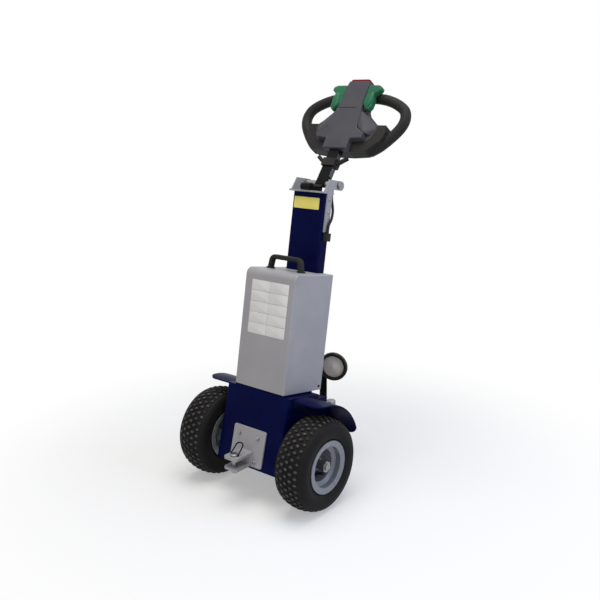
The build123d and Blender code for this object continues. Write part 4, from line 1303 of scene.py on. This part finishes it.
@dataclass
class TillerTrim:
    """Bare metal ridges on the tiller arm's sides, whose pale metal partly paints the highlight lines along
    the arm's grooves, and the mouldings and lamps of the head.

    A cheek's corners are x, the place along the head and the depth behind its underside, in millimetres.
    A pad is sunk by a share of its height.
    """

    stance: Stance
    pivot: Point = (0.0, 142.0 * MM, 797.0 * MM)
    arm_tilt: float = math.radians(26.8)
    arm_half_width: float = 19.0 * MM
    ridge_rows: tuple[float, ...] = (-5.6 * MM, 0.0, 5.6 * MM)
    ridge_width: float = 1.4 * MM
    ridge_start: float = 26.4 * MM
    ridge_end: float = 107.6 * MM
    ridge_height: float = 1.9 * MM
    ridge_corner: float = 0.42 * MM
    groove_depth: float = 1.5 * MM
    cheek_corners: tuple[Point, ...] = (
        (47.0, 135.0, 2.0), (54.0, 80.0, 2.0), (84.0, 57.0, 3.0), (61.0, 135.0, 21.8), (108.0, 97.0, 21.8),
        (112.0, 80.0, 21.8), (101.0, 57.0, 21.8), (60.0, 70.0, 21.8), (46.0, 135.0, 21.8),
    )
    cheek_edge: float = 2.5 * MM
    cheek_steps: int = 3
    pad_centre: Pair = (63.0 * MM, 172.0 * MM)
    pad_reach: Point = (13.5 * MM, 29.0 * MM, 6.0 * MM)
    pad_sunk: float = 0.1
    pad_turn: float = math.radians(-6.0)
    throttle_face: float = 1.0 * MM
    gauge_along: float = 74.0 * MM
    gauge_top: float = 77.0 * MM
    lamp_spacing: float = 7.0 * MM
    lamp_count: int = 5
    lamp: PanScrew = PanScrew(2.0 * MM, 1.2 * MM)

    def ridges(self) -> BMesh:
        """Bare metal strips in the grooves of the arm's sides; their pale metal paints the highlight lines
        along the groove edges.

        Returns:
            The joined strips.
        """
        up = self.stance.slope(self.arm_tilt)[1]
        spots = []
        for side in Side:
            origin = (side.value * (self.arm_half_width - self.groove_depth), self.pivot[1], self.pivot[2])
            face = self.stance.facing(origin, (side.value, 0.0, 0.0), up)
            spots += [face @ at(row, (self.ridge_start + self.ridge_end) / 2) for row in self.ridge_rows]
        length = self.ridge_end - self.ridge_start
        strip = Plate(self.ridge_width, length, self.ridge_height, self.ridge_corner)
        return stamped(strip.form(), spots)

    def cheek(self, side: Side) -> BMesh:
        """Sloping cheek between the head's underside cover and its upper shell.

        Args:
            side: Side of the head.

        Returns:
            The cheek, in the row frame.
        """
        form = bmesh.new()
        for x, along, depth in self.cheek_corners:
            form.verts.new((side.value * x * MM, along * MM, -depth * MM))
        bmesh.ops.convex_hull(form, input=form.verts)
        bmesh.ops.dissolve_limit(form, angle_limit=FLAT_ANGLE, verts=form.verts, edges=form.edges)
        bmesh.ops.recalc_face_normals(form, faces=form.faces)
        softened(form, form.edges[:], self.cheek_edge, self.cheek_steps)
        bmesh.ops.transform(form, matrix=self.stance.head_face(0.0), verts=form.verts)
        return form

    def pad(self) -> BMesh:
        """Domed oval pad, centred on local z = 0 and sunk a little below it.

        Returns:
            The pad.
        """
        form = bmesh.new()
        bmesh.ops.create_uvsphere(form, u_segments=32, v_segments=16, radius=1.0)
        bmesh.ops.bisect_plane(
            form, geom=[*form.verts, *form.edges, *form.faces], plane_co=(0, 0, -self.pad_sunk),
            plane_no=(0, 0, -1), clear_outer=True,
        )
        bmesh.ops.scale(form, vec=self.pad_reach, verts=form.verts)
        return form

    def build(self, shop: Workshop) -> None:
        """Make the tiller's pieces.

        Args:
            shop: Where pieces are made.
        """
        # The ridges' pale metal stands for painted highlight lines along the arm's grooves.
        shop.piece("arm_ridges_as_highlight_lines", self.ridges(), "ridge_aluminium", Body.TILLER)
        for side in Side:
            shop.piece(f"head_cheek_{side.word}", self.cheek(side), "grey_plastic", Body.TILLER)
            turn = Matrix.Rotation(side.value * self.pad_turn, 4, "Z")
            spot = at(side.value * self.pad_centre[0], self.pad_centre[1]) @ turn
            pad = stamped(self.pad(), [self.stance.head_face(self.throttle_face) @ spot])
            shop.piece(f"throttle_pad_{side.word}", pad, "green_plastic", Body.TILLER)
        face = self.stance.head_face(self.gauge_top) @ Matrix.Rotation(math.pi, 4, "Y")
        steps = [step - (self.lamp_count - 1) / 2 for step in range(self.lamp_count)]
        spots = [face @ at(step * self.lamp_spacing, self.gauge_along) for step in steps]
        shop.piece("gauge_lamps", stamped(self.lamp.form(), spots), "green_plastic", Body.TILLER)


@dataclass
class CastorTrim:
    """Bolts that hold the castor plate, and the horn's rubber rim."""

    axle: Vector
    bolt: HexBolt = HexBolt(8.0 * MM, 4.5 * MM, 11.0 * MM)
    bolt_reach: float = 19.0 * MM
    arm_top: float = 140.0 * MM
    horn_from_axle: Point = (0.0, 341.0 * MM, 157.0 * MM)
    horn_turn: float = math.radians(20.0)
    horn_radius: float = 47.0 * MM
    rim_width: float = 10.0 * MM
    rim_depth: float = 9.0 * MM
    rim_proud: float = 0.6 * MM
    rim_skirt: float = 1.2 * MM
    rim_lip: float = 2.0 * MM
    rim_bow: float = 2.4 * MM
    rim_fall: float = 1.0 * MM
    bow_steps: int = 8
    turn_steps: int = 64

    def rim(self) -> BMesh:
        """Rubber ring round the horn's front edge, with its front to local z.

        Returns:
            The ring.
        """
        outer = self.horn_radius + self.rim_proud
        inner = self.horn_radius - self.rim_width - self.rim_proud
        crest = ((inner + outer) / 2, self.rim_bow)
        bow = arc((inner, 0.0), crest, (outer, -self.rim_fall), self.bow_steps)
        back = [(outer, -self.rim_depth), (outer - self.rim_skirt, -self.rim_depth)]
        return spun([(inner, -self.rim_lip), *bow, *back], self.turn_steps, closed=True)

    def build(self, shop: Workshop) -> None:
        """Make the pieces round the castor.

        Args:
            shop: Where pieces are made.
        """
        low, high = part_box("castor_plate")
        middle = (low + high) / 2
        ends = (-self.bolt_reach, self.bolt_reach)
        spots = [at(middle.x + x, middle.y + y, self.arm_top) for x in ends for y in ends]
        shop.piece("castor_bolts", stamped(self.bolt.form(), spots), "bright_steel", Body.CHASSIS)
        facing = Matrix.Rotation(self.horn_turn, 4, "Z") @ Matrix.Rotation(math.pi / 2, 4, "X")
        place = Matrix.Translation(self.axle + Vector(self.horn_from_axle)) @ facing
        shop.piece("horn_rim", stamped(self.rim(), [place]), "black_plastic", Body.CHASSIS)


@dataclass(frozen=True)
class Lamp:
    """A square soft lamp: its place, the length of its sides, its power and the colour of its light."""

    name: str
    place: Point
    size: float
    watts: float
    colour: Colour

    def hang(self, aim: Point) -> None:
        """Hang the lamp.

        Args:
            aim: Point that it faces.
        """
        light = bpy.data.lights.new(self.name, "AREA")
        light.size = self.size
        light.energy = self.watts
        light.color = self.colour
        way = looking(Vector(aim) - Vector(self.place))
        linked(self.name, light).matrix_world = Matrix.Translation(self.place) @ way


@dataclass
class Studio:
    """White room, soft lamps and the camera."""

    axle: Vector
    camera_from_axle: Point = (1.5015, -1.6737, 1.0246)
    camera_way: Point = (-0.6118, 0.7514, -0.2470)
    camera_roll: float = math.radians(-0.2)
    lens: float = 48.28
    clip: Pair = (0.01, 100.0)
    floor_radius: float = 8.0
    floor_colour: Colour = (0.90, 0.90, 0.90)
    floor_roughness: float = 0.9
    floor_specular: float = 0.1
    floor_fade: Pair = (0.4, 1.2)
    floor_glow: float = 0.3
    ambient: float = 0.27
    ambient_colour: Colour = (0.93, 0.96, 1.0)
    lamp_aim: Point = (0.0, 0.0, 0.6)
    lamps: tuple[Lamp, ...] = (
        Lamp("overhead", (0.2, -0.3, 3.0), 2.2, 60.0, (1.0, 0.99, 0.97)),
        Lamp("window_right", (2.6, 0.8, 1.6), 1.8, 33.0, (0.58, 0.71, 1.0)),
        Lamp("front_fill", (0.0, -3.0, 1.7), 2.0, 15.0, (1.0, 0.91, 0.83)),
        Lamp("eye_fill", (2.0, -2.2, 1.2), 1.2, 9.0, (1.0, 0.97, 0.94)),
    )

    def camera(self) -> None:
        """Set the camera where the photograph was taken from."""
        lens = bpy.data.cameras.new("photo_camera")
        lens.lens = self.lens
        lens.clip_start, lens.clip_end = self.clip
        eye = linked("photo_camera", lens)
        roll = Matrix.Rotation(self.camera_roll, 4, "Z")
        place = Matrix.Translation(self.axle + Vector(self.camera_from_axle))
        eye.matrix_world = place @ looking(Vector(self.camera_way)) @ roll
        bpy.context.scene.camera = eye

    def floor(self) -> None:
        """Lay a pale floor that fades to white away from the machine."""
        form = bmesh.new()
        bmesh.ops.create_circle(form, cap_ends=True, segments=96, radius=self.floor_radius)
        mesh = meshed("floor", form)
        ground = linked("floor", mesh)
        graph = Surface("pale_floor")
        floor = {"Base Color": (*self.floor_colour, 1.0), "Roughness": self.floor_roughness}
        floor["Specular IOR Level"] = self.floor_specular
        graph.shade(floor)
        fade = graph.radius_about(ORIGIN, "Z").ramp(*self.floor_fade)
        far = fade * (1.0 - self.floor_glow) + self.floor_glow
        glow = graph.node("ShaderNodeEmission", {}, {"Color": (*WHITE, 1.0), "Strength": 1.0})
        blend = {0: far * graph.seen_rays(), 1: graph.shader.outputs[0], 2: glow.outputs[0]}
        mixed = graph.node("ShaderNodeMixShader", {}, blend)
        graph.feed(graph.output.inputs["Surface"], mixed.outputs[0])
        mesh.materials.append(graph.material)

    def world(self) -> None:
        """White surroundings, which give the object less light than they show."""
        world = bpy.data.worlds.new("white_room")
        graph = Graph(world)
        dim = {"Color": (*self.ambient_colour, 1.0), "Strength": self.ambient}
        light = graph.node("ShaderNodeBackground", {}, dim)
        white = graph.node("ShaderNodeBackground", {}, {"Color": (*WHITE, 1.0), "Strength": 1.0})
        blend = {0: graph.seen_rays(), 1: light.outputs[0], 2: white.outputs[0]}
        mixed = graph.node("ShaderNodeMixShader", {}, blend)
        graph.node("ShaderNodeOutputWorld", {}, {"Surface": mixed.outputs[0]})
        bpy.context.scene.world = world

    def build(self) -> None:
        """Set up the room, the lamps and the camera."""
        bpy.context.scene.view_settings.view_transform = "Standard"
        self.world()
        self.floor()
        for lamp in self.lamps:
            lamp.hang(self.lamp_aim)
        self.camera()


def main() -> None:
    """Build the sub-assemblies in order and set up the studio."""
    logging.basicConfig(level=logging.INFO, format="%(message)s")
    low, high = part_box("tyre_left")
    axle = Vector((0.0, (low.y + high.y) / 2, (low.z + high.z) / 2))
    stance = Stance(axle)
    shop = Workshop(Palette(tuple(axle)))
    shop.dress_nodes()
    for side in Side:
        RoadWheel(side).build(shop)
    TowGear(stance).build(shop)
    CoverTrim(stance).build(shop)
    ColumnTrim(stance).build(shop)
    TillerTrim(stance).build(shop)
    CastorTrim(axle).build(shop)
    Studio(axle).build()


if __name__ == "__main__":
    main()
